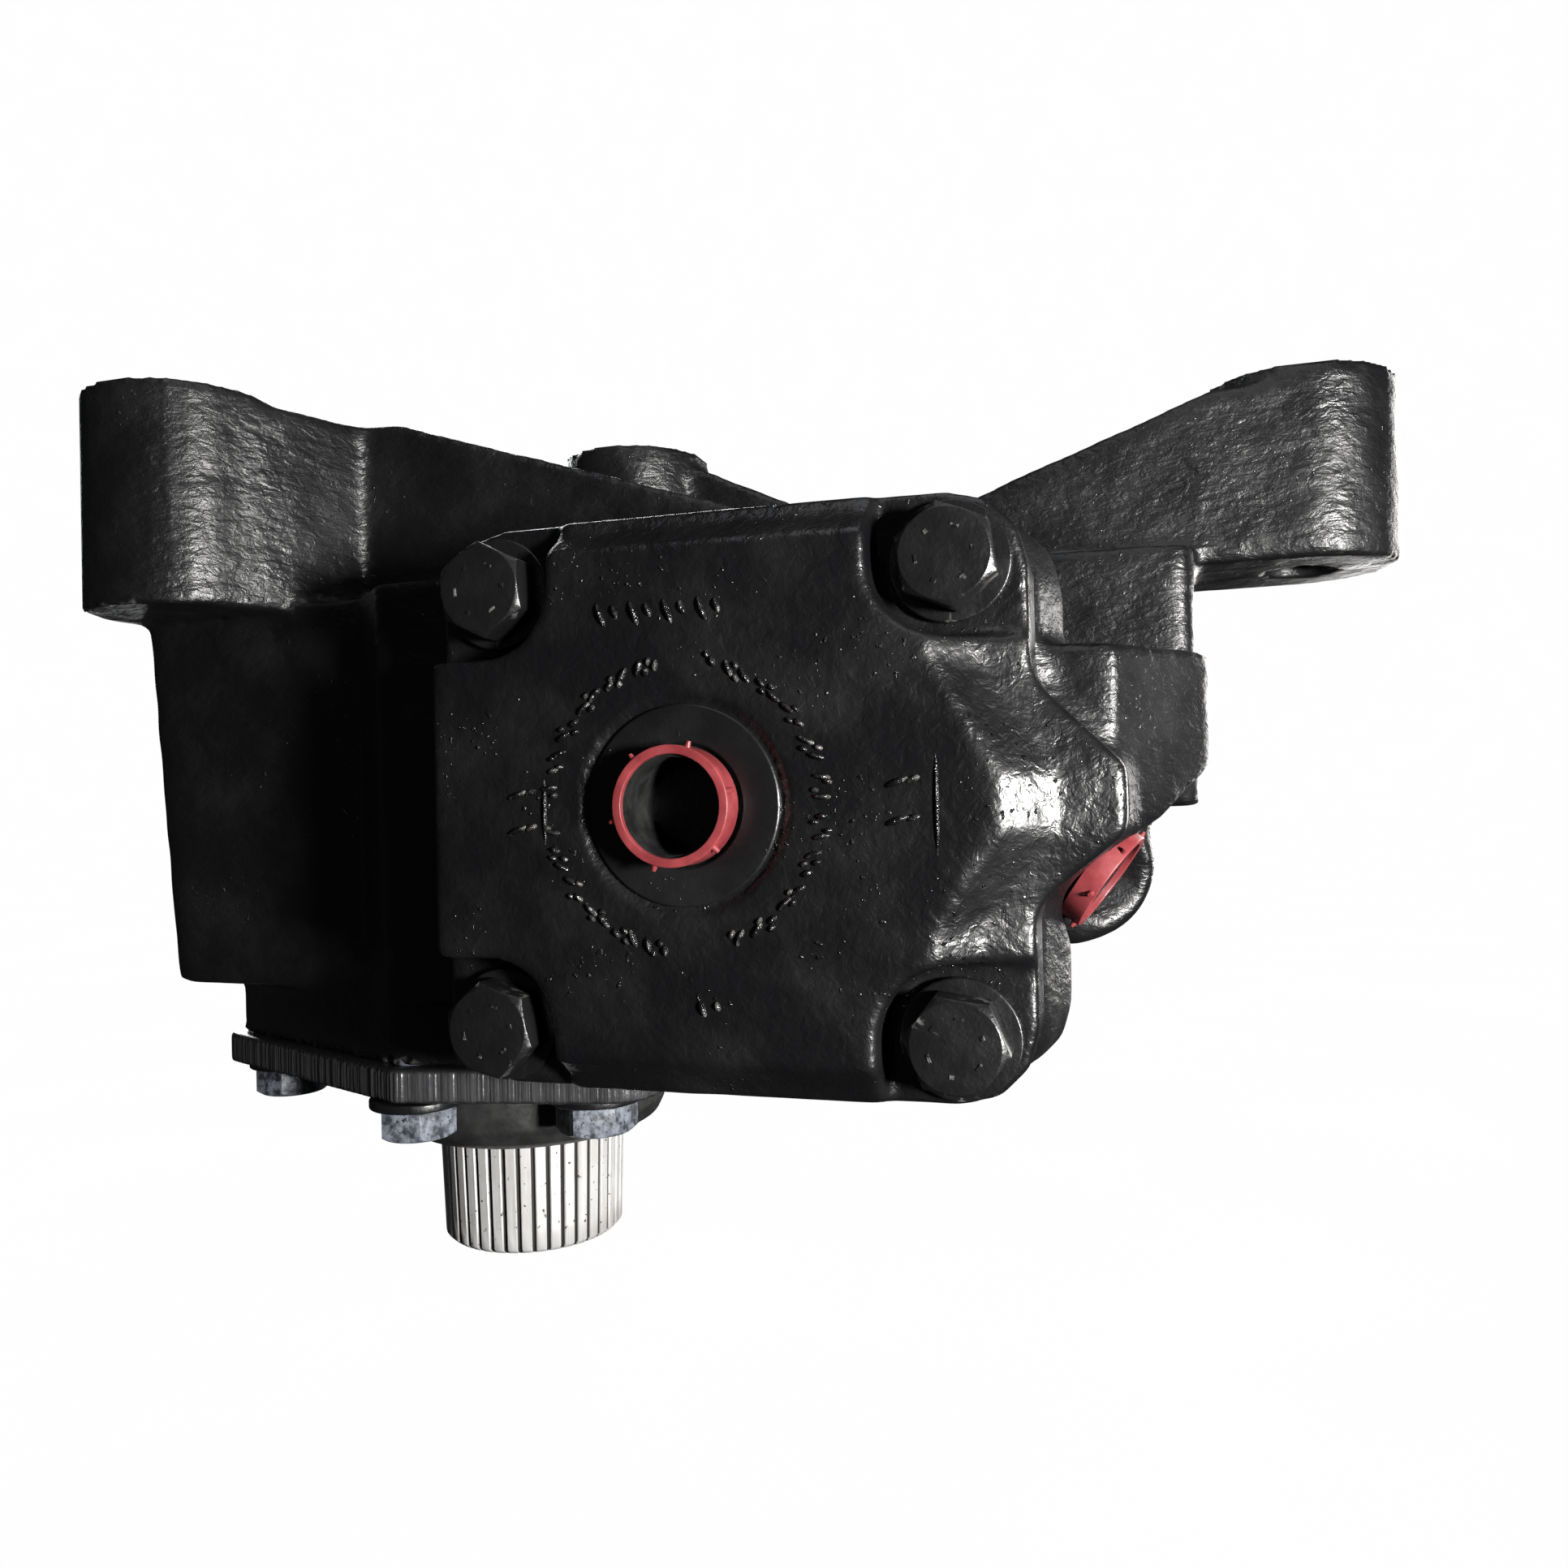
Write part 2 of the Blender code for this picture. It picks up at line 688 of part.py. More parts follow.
def cut_head_pockets(base):
    """Corner pockets for the four bolts: round inside, open at the top and at the side."""
    for index, (x, z) in enumerate(head_bolt_centres()):
        side = 1 if x > 0 else -1
        up = 1 if z > 0 else -1
        near = -POCKET_R
        far = 0.060
        corners = [(near, far), (near, near), (far, near), (far, far)]
        placed = [(x + side * u, z + up * v) for u, v in corners]
        outline = rounded(placed, [0, POCKET_R * 0.98, 0, 0], 8)
        cut(base, slab(f"pocket_{index}", outline, -0.020, SEAT_Y, "Y"))
        cut(base, cylinder(f"head_clearance_{index}", SCREW_R + GAP, 0.0, 0.040, (x, z), "Y", 14))


def head_gasket():
    gasket = slab("head_gasket", head_outline(0.0015), HEAD_BACK_Y + 0.0001, HEAD_JOINT_Y - 0.0001, "Y")
    place(gasket, GASKET_GREY)
    cut(gasket, cylinder("gasket_bore", BORE_R, 0.020, 0.040, (0, 0), "Y", 48))
    cut(gasket, cylinder("gasket_passage", PASSAGE_R, 0.020, 0.040, PASSAGE, "Y", 16))
    for index, centre in enumerate(head_bolt_centres()):
        cut(gasket, cylinder(f"gasket_hole_{index}", SCREW_R + GAP, 0.020, 0.040, centre, "Y", 14))
    return gasket


def frozen(obj):
    """The object's mesh with its modifiers applied; the object itself is removed."""
    bpy.context.view_layer.update()
    graph = bpy.context.evaluated_depsgraph_get()
    mesh = bpy.data.meshes.new_from_object(obj.evaluated_get(graph))
    mesh.name = obj.name
    bpy.data.objects.remove(obj, do_unlink=True)
    return mesh


def hex_screw(name, length):
    """A hexagon screw's mesh: it seats at Z = 0, its chamfered head is above, its shank below."""
    chamfer = 0.0014
    shape = bmesh.new()
    straight = HEX_HEIGHT - chamfer
    bmesh.ops.create_cone(shape, cap_ends=True, segments=6, radius1=HEX_R, radius2=HEX_R, depth=straight)
    crown = max(shape.faces, key=lambda face: face.calc_center_median().z)
    bmesh.ops.inset_region(shape, faces=[crown], thickness=chamfer, depth=chamfer)
    bmesh.ops.translate(shape, vec=(0, 0, straight / 2), verts=shape.verts)
    screw = tool(object_from(name, shape))
    join(screw, cylinder(name + "_shank", SCREW_R, -length, straight / 2, (0, 0), "Z", 16))
    return frozen(screw)


def on_axis(spot, station, axis):
    """A point on a fastener's axis, which is parallel to Y or to Z."""
    return (spot[0], station, spot[1]) if axis == "Y" else (spot[0], spot[1], station)


FACING = {
    "front": ("Y", Matrix.Rotation(math.pi / 2, 4, "X")),
    "back": ("Y", Matrix.Rotation(-math.pi / 2, 4, "X")),
    "down": ("Z", Matrix.Rotation(math.pi, 4, "X")),
}


def fasten(name, spots, seat, length, facing, turns):
    """Hexagon screws with a washer under each head, on a seat that faces front, back or down."""
    axis, rotation = FACING[facing]
    outward = 1 if facing == "back" else -1
    screw_mesh = hex_screw(name + "_screw", length)
    washer_station = seat + outward * GAP
    head_station = washer_station + outward * (WASHER_THICKNESS + GAP)
    for number, (spot, turn) in enumerate(zip(spots, turns), start=1):
        screw = bpy.data.objects.new(f"{name}_bolt_{number}", screw_mesh)
        angle = Matrix.Rotation(math.radians(turn), 4, "Z")
        screw.matrix_basis = Matrix.Translation(on_axis(spot, head_station, axis)) @ rotation @ angle
        place(screw, BLACK_BOLT)
        ring = ring_profile(SCREW_R + GAP, WASHER_R, 0.0, WASHER_THICKNESS)
        washer = turned(f"{name}_washer_{number}", ring, (0, 0, 0), "Z", 16)
        washer.matrix_basis = Matrix.Translation(on_axis(spot, washer_station, axis)) @ rotation
        place(washer, BLACK_BOLT)


def head_screws():
    fasten("head", head_bolt_centres(), SEAT_Y, 0.043, "front", (12, 4, 22, 8))


def plug_profile():
    """A hollow shipping plug: closed at its inner end, with an open rim that stands proud of the port."""
    rim_r = 0.0146
    wall = 0.0021
    stand = 0.0080
    depth = 0.0100
    floor = 0.0018
    body_r = PORT_R - 0.0005
    return [
        (0.0, depth),
        (body_r - 0.0008, depth),
        (body_r, 0.0004),
        (rim_r, 0.0002),
        (rim_r, -stand),
        (rim_r - wall, -stand),
        (rim_r - 2 * wall, depth - floor),
        (0.0, depth - floor),
    ]


def head_port_plug():
    place(turned("head_port_plug", plug_profile(), (PORT_X, 0, 0), "Y", 32), RED_PLASTIC)


def side_port_plug():
    plug = turned("side_port_plug", plug_profile(), (0, 0, 0), "Z", 24)
    face = Vector(SIDE_PORT_FACE)
    axis = Vector(SIDE_PORT_AXIS).normalized()
    turn = (-axis).to_track_quat("Z", "Y").to_matrix().to_4x4()
    plug.matrix_basis = Matrix.Translation(face - axis * 0.0040) @ turn
    place(plug, RED_PLASTIC)


def output_flange():
    """The flange plate under the gearcase, with the hub that carries the lower bearing and the oil seal."""
    plate = slab("output_flange", plate_outline(), PLATE_BOTTOM_Z, PLATE_TOP_Z, "Z")
    place(plate, BLACK_CAST)
    centre = (SHAFT_X, SHAFT_Y)
    join(plate, cylinder("hub", HUB_R, -0.079, -0.030, centre, "Z", 40))
    cut(plate, cylinder("hub_bore", HUB_BORE_R, -0.090, -0.020, centre, "Z", 40))
    for index, spot in enumerate(PLATE_BOLTS):
        cut(plate, cylinder(f"plate_clearance_{index}", SCREW_R + GAP, -0.090, -0.060, spot, "Z", 14))


def flange_screws():
    fasten("flange", PLATE_BOLTS, PLATE_BOTTOM_Z, 0.028, "down", (26, 9, 40, 15, 33, 4))


def output_rings():
    spot = (SHAFT_X, SHAFT_Y, 0)
    inner = LOWER_JOURNAL_R + GAP
    outer = HUB_BORE_R - GAP
    place(turned("output_bearing_lower", ring_profile(inner, outer, -0.064, -0.034), spot), BEARING_STEEL)
    place(turned("output_oil_seal", ring_profile(inner, outer, -0.081, -0.068), spot), BLACK_RUBBER)
    upper = ring_profile(UPPER_JOURNAL_R + GAP, UPPER_BEARING_R - GAP, 0.027, 0.053)
    place(turned("output_bearing_upper", upper, spot), BEARING_STEEL)
    place(turned("output_dust_boot", boot_profile(), spot), BLACK_RUBBER)


def boot_profile():
    """The dust boot's section: it hangs under the flange plate and its lip runs just off the shaft."""
    top = PLATE_BOTTOM_Z - GAP
    lip_r = SPLINE_TOP_R + 0.0006
    wall = 0.0045
    return [
        (BOOT_R - 0.0015, top),
        (BOOT_R - 0.0015, top - 0.0040),
        (BOOT_R, top - 0.0055),
        (BOOT_R, BOOT_BOTTOM_Z + 0.0055),
        (BOOT_R - 0.0018, BOOT_BOTTOM_Z + 0.0015),
        (BOOT_R - 0.0048, BOOT_BOTTOM_Z),
        (lip_r, BOOT_BOTTOM_Z),
        (lip_r, BOOT_BOTTOM_Z + 0.0040),
        (BOOT_R - wall - 0.0015, BOOT_BOTTOM_Z + 0.0065),
        (BOOT_R - wall - 0.0015, top),
    ]


def involute(angle):
    return math.tan(angle) - angle


def sector_outline():
    """Three involute teeth towards the piston and a round hub behind, in plan about the shaft's axis."""
    base_r = PITCH_R * math.cos(PRESSURE_ANGLE)
    pitch_angle = MODULE * math.pi / PITCH_R
    thickness = MODULE * math.pi / 2 - BACKLASH
    half_at_pitch = thickness / (2 * PITCH_R)
    stations = [base_r + (SECTOR_TIP_R - base_r) * step / 5 for step in range(6)]
    flank = [(SECTOR_ROOT_R, half_at_pitch + involute(PRESSURE_ANGLE))]
    for radius in stations:
        local = math.acos(min(1.0, base_r / radius))
        flank.append((radius, half_at_pitch + involute(PRESSURE_ANGLE) - involute(local)))
    polar = []
    for tooth in (-1, 0, 1):
        centre = tooth * pitch_angle
        polar += [(radius, centre - half) for radius, half in flank]
        polar += [(radius, centre + half) for radius, half in reversed(flank)]
    edge = pitch_angle + 0.24
    hub_r = 0.036
    polar = [(SECTOR_ROOT_R, -edge)] + polar + [(SECTOR_ROOT_R, edge)]
    back_steps = 14
    start = edge + 0.12
    sweep = 2 * math.pi - 2 * start
    polar += [(hub_r, start + sweep * step / back_steps) for step in range(back_steps + 1)]
    return [(radius * math.cos(angle), radius * math.sin(angle)) for radius, angle in polar]


def serrated(radius, depth, teeth, station):
    """One ring of corners of a serrated shaft, tips and roots in turn."""
    corners = []
    for index in range(2 * teeth):
        reach = radius - (depth if index % 2 else 0)
        angle = math.pi * index / teeth
        corners.append((reach * math.cos(angle), reach * math.sin(angle), station))
    return corners


def sector_shaft():
    """Output shaft: toothed sector, two journals and the tapered serrated end for the pitman arm."""
    shaft = slab("sector_shaft", sector_outline(), -SECTOR_HALF_Z, SECTOR_HALF_Z, "Z")
    shaft.location = (SHAFT_X, SHAFT_Y, 0)
    place(shaft, BARE_STEEL)
    centre = (SHAFT_X, SHAFT_Y)
    join(shaft, cylinder("upper_journal", UPPER_JOURNAL_R, 0.0, 0.057, centre, "Z", 36))
    join(shaft, cylinder("lower_journal", LOWER_JOURNAL_R, SPLINE_TOP_Z, 0.001, centre, "Z", 36))
    rings = (
        serrated(SPLINE_END_R - 0.0016, 0.0002, SPLINE_TEETH, SPLINE_END_Z),
        serrated(SPLINE_END_R, SPLINE_DEPTH, SPLINE_TEETH, SPLINE_END_Z + 0.0015),
        serrated(SPLINE_TOP_R, SPLINE_DEPTH, SPLINE_TEETH, SPLINE_TOP_Z + 0.0040),
    )
    join(shaft, lofted("output_spline", rings, (SHAFT_X, SHAFT_Y, 0)))


def helix(name, radius, tube_r, start, end, per_turn=10):
    """A tube wound about the bore's axis, for the ball track of the worm and of the piston."""
    curve = bpy.data.curves.new(name, "CURVE")
    curve.dimensions = "3D"
    curve.bevel_depth = tube_r
    curve.bevel_resolution = 1
    curve.use_fill_caps = True
    count = int(round((end - start) / SCREW_LEAD * per_turn)) + 1
    line = curve.splines.new("POLY")
    line.points.add(count - 1)
    for index, point in enumerate(line.points):
        station = start + (end - start) * index / (count - 1)
        x, y, z = on_helix(radius, station)
        point.co = (x, y, z, 1)
    guide = bpy.data.objects.new(name + "_curve", curve)
    bpy.context.scene.collection.objects.link(guide)
    bpy.context.view_layer.update()
    graph = bpy.context.evaluated_depsgraph_get()
    mesh = bpy.data.meshes.new_from_object(guide.evaluated_get(graph))
    bpy.data.objects.remove(guide, do_unlink=True)
    shape = bmesh.new()
    shape.from_mesh(mesh)
    bpy.data.meshes.remove(mesh)
    bmesh.ops.remove_doubles(shape, verts=shape.verts, dist=WELD)
    bmesh.ops.recalc_face_normals(shape, faces=shape.faces)
    return object_from(name, shape)


def on_helix(radius, station):
    angle = 2 * math.pi * station / SCREW_LEAD
    return (radius * math.sin(angle), station, radius * math.cos(angle))


def rack_piston():
    piston = cylinder("rack_piston", PISTON_R, PISTON_FRONT_Y, PISTON_BACK_Y, (0, 0), "Y", 48)
    place(piston, BARE_STEEL)
    for index in (-1, 0, 1):
        outline = rack_gap_outline(SHAFT_Y + index * MODULE * math.pi)
        cut(piston, slab(f"rack_gap_{index + 1}", outline, -0.050, 0.050, "Z"))
    front, back = RING_GROOVE
    cut(piston, cylinder("worm_bore", WORM_BORE_R, back + 0.0004, 0.200, (0, 0), "Y", 28))
    groove = ring_profile(RING_R[0] - 0.0004, RING_R[1] + 0.0025, front, back)
    cut(piston, turned("ring_groove", groove, (0, 0, 0), "Y", 48))
    cut(piston, helix("nut_track", TRACK_R, TRACK_TUBE_R, 0.1500, 0.1780))
    ring = turned("piston_ring", ring_profile(*RING_R, front + GAP, back - GAP), (0, 0, 0), "Y", 48)
    place(ring, BEARING_STEEL)


def rack_gap_outline(middle):
    """The gap between two rack teeth in plan: straight flanks at the pressure angle."""
    slope = math.tan(PRESSURE_ANGLE)
    half_gap = (MODULE * math.pi / 2 + BACKLASH) / 2
    outer_half = half_gap + slope * RACK_CUT_DEPTH
    root_half = half_gap - slope * RACK_ROOT_DEPTH
    outer_x = RACK_PITCH_X - RACK_CUT_DEPTH
    root_x = RACK_PITCH_X + RACK_ROOT_DEPTH
    return [
        (outer_x, middle - outer_half),
        (root_x, middle - root_half),
        (root_x, middle + root_half),
        (outer_x, middle + outer_half),
    ]


def ball_train():
    """The recirculating balls that run between the worm and the piston, touching in one train."""
    train = None
    for index in range(BALL_COUNT):
        shape = bmesh.new()
        bmesh.ops.create_uvsphere(shape, u_segments=6, v_segments=4, radius=BALL_R)
        ball = object_from(f"ball_{index}", shape, on_helix(TRACK_R, 0.155 + index * BALL_STEP))
        if train is None:
            ball.name = "ball_train"
            train = place(ball, BEARING_STEEL)
        else:
            join(train, ball)


def worm_shaft():
    worm = cylinder("worm_shaft", WORM_R, WORM_TIP_Y, INPUT_START_Y - 0.0004, (0, 0), "Y", 24)
    place(worm, BARE_STEEL)
    cut(worm, helix("worm_track", TRACK_R, TRACK_TUBE_R, 0.0960, 0.2160))
    cut(worm, cylinder("worm_core", TORSION_BAR_R + GAP, 0.1900, 0.2400, (0, 0), "Y", 14))


def input_shaft():
    """The serrated stub that the steering column turns, with the torsion bar inside it."""
    stub = cylinder("input_shaft", INPUT_R, INPUT_START_Y, INPUT_SPLINE_START_Y + 0.0012, (0, 0), "Y", 40)
    place(stub, BARE_STEEL)
    rings = (
        serrated(INPUT_SPLINE_R, 0.0008, INPUT_SPLINE_TEETH, INPUT_SPLINE_START_Y),
        serrated(INPUT_SPLINE_R, 0.0008, INPUT_SPLINE_TEETH, INPUT_END_Y - 0.0015),
        serrated(INPUT_SPLINE_R - 0.0014, 0.0001, INPUT_SPLINE_TEETH, INPUT_END_Y),
    )
    spline = lofted("input_spline", rings)
    spline.data.transform(AXIS_ROTATION["Y"])
    join(stub, spline)
    groove = ring_profile(INPUT_SPLINE_R - 0.0018, INPUT_R - 0.0010, *PINCH_GROOVE)
    cut(stub, turned("pinch_groove", groove, (0, 0, 0), "Y", 40))
    cut(stub, cylinder("input_core", TORSION_BAR_R + GAP, 0.2200, 0.2860, (0, 0), "Y", 14))
    place(cylinder("torsion_bar", TORSION_BAR_R, 0.1915, 0.2845, (0, 0), "Y", 16), BARE_STEEL)


def input_rings():
    """The rings round the input shaft: valve sleeve, thrust bearings and seals."""
    inner = INPUT_R + GAP
    bearing_r = CAP_CAVITY_R - GAP
    rings = (
        ("valve_sleeve", ring_profile(inner, bearing_r - 0.0004, 0.2370, 0.2540), BARE_STEEL),
        ("thrust_bearing_front", ring_profile(inner, bearing_r, 0.2300, 0.2365), BEARING_STEEL),
        ("thrust_bearing_rear", ring_profile(inner, bearing_r, 0.2545, 0.2605), BEARING_STEEL),
        ("input_oil_seal", ring_profile(inner, CAP_SEAL_R - GAP, 0.2625, 0.2700), BLACK_RUBBER),
        ("input_dust_seal", ring_profile(INPUT_SPLINE_R + GAP, 0.0260, 0.2753, 0.2790), BLACK_RUBBER),
    )
    for name, profile, finish in rings:
        place(turned(name, profile, (0, 0, 0), "Y"), finish)


def bearing_cap():
    """The cover at the input end, with the return port in its side."""
    cap = cylinder("bearing_cap", CAP_FLANGE_R, BARREL_END_Y + GAP, CAP_FLANGE_BACK_Y, (0, 0), "Y", 48)
    place(cap, BLACK_CAST)
    join(cap, cylinder("cap_body", CAP_BODY_R, 0.240, CAP_BACK_Y, (0, 0), "Y", 40))
    join(cap, cylinder("cap_port_boss", 0.0170, 0.031, RETURN_PORT_FACE_X, RETURN_PORT, "X", 32))
    cut(cap, cylinder("cap_cavity", CAP_CAVITY_R, 0.220, CAP_CAVITY_END_Y, (0, 0), "Y", 48))
    cut(cap, cylinder("cap_seal_bore", CAP_SEAL_R, 0.250, 0.290, (0, 0), "Y", 48))
    cut(cap, cylinder("cap_port", PORT_R, 0.036, 0.070, RETURN_PORT, "X", 32))
    for index, centre in enumerate(cap_bolt_centres()):
        cut(cap, cylinder(f"cap_clearance_{index}", SCREW_R + GAP, 0.220, 0.260, centre, "Y", 14))


def return_port_plug():
    plug = turned("return_port_plug", plug_profile(), (0, 0, 0), "Z", 24)
    spot = (RETURN_PORT_FACE_X + 0.0005, *RETURN_PORT)
    plug.matrix_basis = Matrix.Translation(spot) @ Matrix.Rotation(-math.pi / 2, 4, "Y")
    place(plug, RED_PLASTIC)


def cap_screws():
    fasten("cap", cap_bolt_centres(), CAP_FLANGE_BACK_Y, 0.038, "back", (5, 30, 18, 44))


def adjuster():
    """The screw that sets the sector's mesh, and its lock nut, on top of the gearcase."""
    centre = (SHAFT_X, SHAFT_Y)
    screw = cylinder("adjuster_screw", ADJUSTER_R, 0.0573, ADJUSTER_END_Z, centre, "Z", 24)
    place(screw, BARE_STEEL)
    cut(screw, cylinder("adjuster_socket", 0.0046, ADJUSTER_END_Z - 0.0070, 0.0950, centre, "Z", 6))
    nut = cylinder("adjuster_nut", ADJUSTER_NUT_R, *ADJUSTER_NUT_Z, centre, "Z", 6)
    place(nut, BARE_STEEL)
    cut(nut, cylinder("nut_bore", ADJUSTER_R + GAP, 0.060, 0.095, centre, "Z", 24))


def build():
    housing()
    cylinder_head()
    head_gasket()
    head_screws()
    head_port_plug()
    side_port_plug()
    output_flange()
    flange_screws()
    output_rings()
    sector_shaft()
    rack_piston()
    ball_train()
    worm_shaft()
    input_shaft()
    input_rings()
    bearing_cap()
    return_port_plug()
    cap_screws()
    adjuster()


build()
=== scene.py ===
"""Looks of the hydraulic power steering gear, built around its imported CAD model.

The cast pieces are remeshed from their CAD solids: softened where the casting is rough, kept true
where it is machined. Screws, washers, plugs, boot and serrated shaft are modelled afresh in place.
Positions are written in the gear's own frame, whose origin is where the bore's axis meets the
cylinder head's front face, and at() turns them into the shared frame.
"""

import json
import math

import bmesh
import bpy
import numpy as np
from mathutils import Matrix, Vector, noise


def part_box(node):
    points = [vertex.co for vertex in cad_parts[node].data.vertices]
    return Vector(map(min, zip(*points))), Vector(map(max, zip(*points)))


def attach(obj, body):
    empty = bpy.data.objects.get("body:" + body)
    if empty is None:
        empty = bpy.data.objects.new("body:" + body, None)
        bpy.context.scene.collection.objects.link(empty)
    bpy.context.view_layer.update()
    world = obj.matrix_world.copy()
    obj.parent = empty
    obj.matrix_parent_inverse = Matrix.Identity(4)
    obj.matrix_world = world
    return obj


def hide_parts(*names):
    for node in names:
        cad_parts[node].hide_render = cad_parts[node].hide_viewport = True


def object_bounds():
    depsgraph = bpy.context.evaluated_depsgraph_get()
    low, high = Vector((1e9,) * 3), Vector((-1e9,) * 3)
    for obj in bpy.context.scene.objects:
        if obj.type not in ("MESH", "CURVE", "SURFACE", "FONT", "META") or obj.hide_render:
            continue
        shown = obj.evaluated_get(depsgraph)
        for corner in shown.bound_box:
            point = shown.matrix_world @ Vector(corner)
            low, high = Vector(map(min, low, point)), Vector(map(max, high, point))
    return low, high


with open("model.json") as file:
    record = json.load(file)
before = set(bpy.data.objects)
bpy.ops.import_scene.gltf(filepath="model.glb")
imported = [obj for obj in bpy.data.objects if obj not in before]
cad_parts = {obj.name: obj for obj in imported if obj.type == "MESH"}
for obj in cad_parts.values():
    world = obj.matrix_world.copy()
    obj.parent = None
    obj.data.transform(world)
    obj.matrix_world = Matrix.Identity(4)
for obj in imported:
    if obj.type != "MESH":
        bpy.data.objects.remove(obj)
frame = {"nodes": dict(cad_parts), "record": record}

CAD_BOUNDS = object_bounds()
NODES = frame["nodes"]
SCENE = bpy.context.scene
WHITE = (1.0, 1.0, 1.0)

HEAD_THICKNESS = 0.030
RING_LOW, RING_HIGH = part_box("piston_ring")
BORE = (RING_LOW + RING_HIGH) / 2
FACE_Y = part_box("cylinder_head")[1].y - HEAD_THICKNESS
ORIGIN = Vector((BORE.x, FACE_Y, BORE.z))
BOOT_LOW, BOOT_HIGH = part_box("output_dust_boot")
SHAFT_X = (BOOT_LOW.x + BOOT_HIGH.x) / 2 - ORIGIN.x
SHAFT_Y = (BOOT_LOW.y + BOOT_HIGH.y) / 2 - ORIGIN.y
TOP_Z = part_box("housing")[1].z - ORIGIN.z
PLATE_LOW, PLATE_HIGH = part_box("output_flange")
PLATE_BOTTOM_Z = PLATE_LOW.z - ORIGIN.z

BORE_R = 0.0478
BARREL_END_Y = 0.228
INSET = 1e-5
HEX_R = 0.0121
HEX_FLAT_R = HEX_R * math.cos(math.pi / 6)
HEX_HEIGHT = 0.0088
HEX_CHAMFER = 0.0011 * 1.3
HEX_MARK_R = 0.0064
WASHER_FACE = 0.0004
SCREW_R = 0.0070
WASHER_R = 0.0140
WASHER_THICKNESS = 0.0025
PORT_X = -0.005
SPOT_FACE_R = 0.0238
COLLAR_R = 0.0140
COLLAR_BORE_R = 0.0119
COLLAR_HEIGHT = 0.0080
SIDE_COLLAR_HEIGHT = 0.0058
CUP_FLOOR = 0.0096
CUP_END = 0.0104
SHAFT_TOP_R = 0.0308
SHAFT_END_R = 0.0293
SHAFT_END_Z = -0.1419
SHAFT_CUT_Z = -0.0800


def at(x, y, z):
    """A point of the gear's own frame in the shared frame."""
    return ORIGIN + Vector((x, y, z))


# ---------------------------------------------------------------- materials


def new_material(name, colour, roughness, metallic=0.0):
    made = bpy.data.materials.new(name)
    made.use_nodes = True
    shader = made.node_tree.nodes["Principled BSDF"]
    shader.inputs["Base Color"].default_value = (*colour, 1.0)
    shader.inputs["Roughness"].default_value = roughness
    shader.inputs["Metallic"].default_value = metallic
    return made, shader


def add_node(material, kind, **values):
    made = material.node_tree.nodes.new(kind)
    for key, value in values.items():
        if key in made.inputs:
            made.inputs[key].default_value = value
        else:
            setattr(made, key, value)
    return made


def link(material, source, target):
    material.node_tree.links.new(source, target)


def object_space(material, stretch=(1, 1, 1)):
    """Coordinates in metres, squeezed along each axis by stretch."""
    coordinates = add_node(material, "ShaderNodeTexCoord")
    mapping = add_node(material, "ShaderNodeMapping")
    mapping.inputs["Scale"].default_value = stretch
    link(material, coordinates.outputs["Object"], mapping.inputs["Vector"])
    return mapping.outputs["Vector"]


def noise_field(material, vector, scale, detail=2.0, roughness=0.5, distortion=0.0):
    field = add_node(
        material,
        "ShaderNodeTexNoise",
        Scale=scale,
        Detail=detail,
        Roughness=roughness,
        Distortion=distortion,
    )
    link(material, vector, field.inputs["Vector"])
    return field.outputs["Fac"]


def ramp(material, value, low, high, first=0.0, last=1.0):
    """The value stretched from low..high to first..last and held inside it."""
    stretch = add_node(material, "ShaderNodeMapRange")
    stretch.inputs["From Min"].default_value = low
    stretch.inputs["From Max"].default_value = high
    stretch.inputs["To Min"].default_value = first
    stretch.inputs["To Max"].default_value = last
    link(material, value, stretch.inputs["Value"])
    return stretch.outputs["Result"]


def combine(material, operation, first, second):
    """A Math node on two values, either of which may be a plain number."""
    made = add_node(material, "ShaderNodeMath", operation=operation)
    for value, socket in ((first, made.inputs[0]), (second, made.inputs[1])):
        if isinstance(value, (int, float)):
            socket.default_value = value
        else:
            link(material, value, socket)
    return made.outputs["Value"]


def mix_colours(material, factor, first, second):
    """From the first colour to the second; either may be a plain triple or another node's output."""
    made = add_node(material, "ShaderNodeMix", data_type="RGBA")
    link(material, factor, made.inputs[0])
    for colour, socket in ((first, made.inputs[6]), (second, made.inputs[7])):
        if isinstance(colour, tuple):
            socket.default_value = (*colour, 1.0)
        else:
            link(material, colour, socket)
    return made.outputs[2]


def bump(material, height, distance, strength=1.0, under=None):
    made = add_node(material, "ShaderNodeBump", Strength=strength, Distance=distance)
    link(material, height, made.inputs["Height"])
    if under:
        link(material, under, made.inputs["Normal"])
    return made.outputs["Normal"]


def edge_wear(material, field, low=0.545, high=0.60):
    """From 0 to 1 along sharp outer edges, broken up by a noise field."""
    shape = add_node(material, "ShaderNodeNewGeometry")
    edge = ramp(material, shape.outputs["Pointiness"], low, high)
    return combine(material, "MULTIPLY", edge, ramp(material, field, 0.52, 0.62))


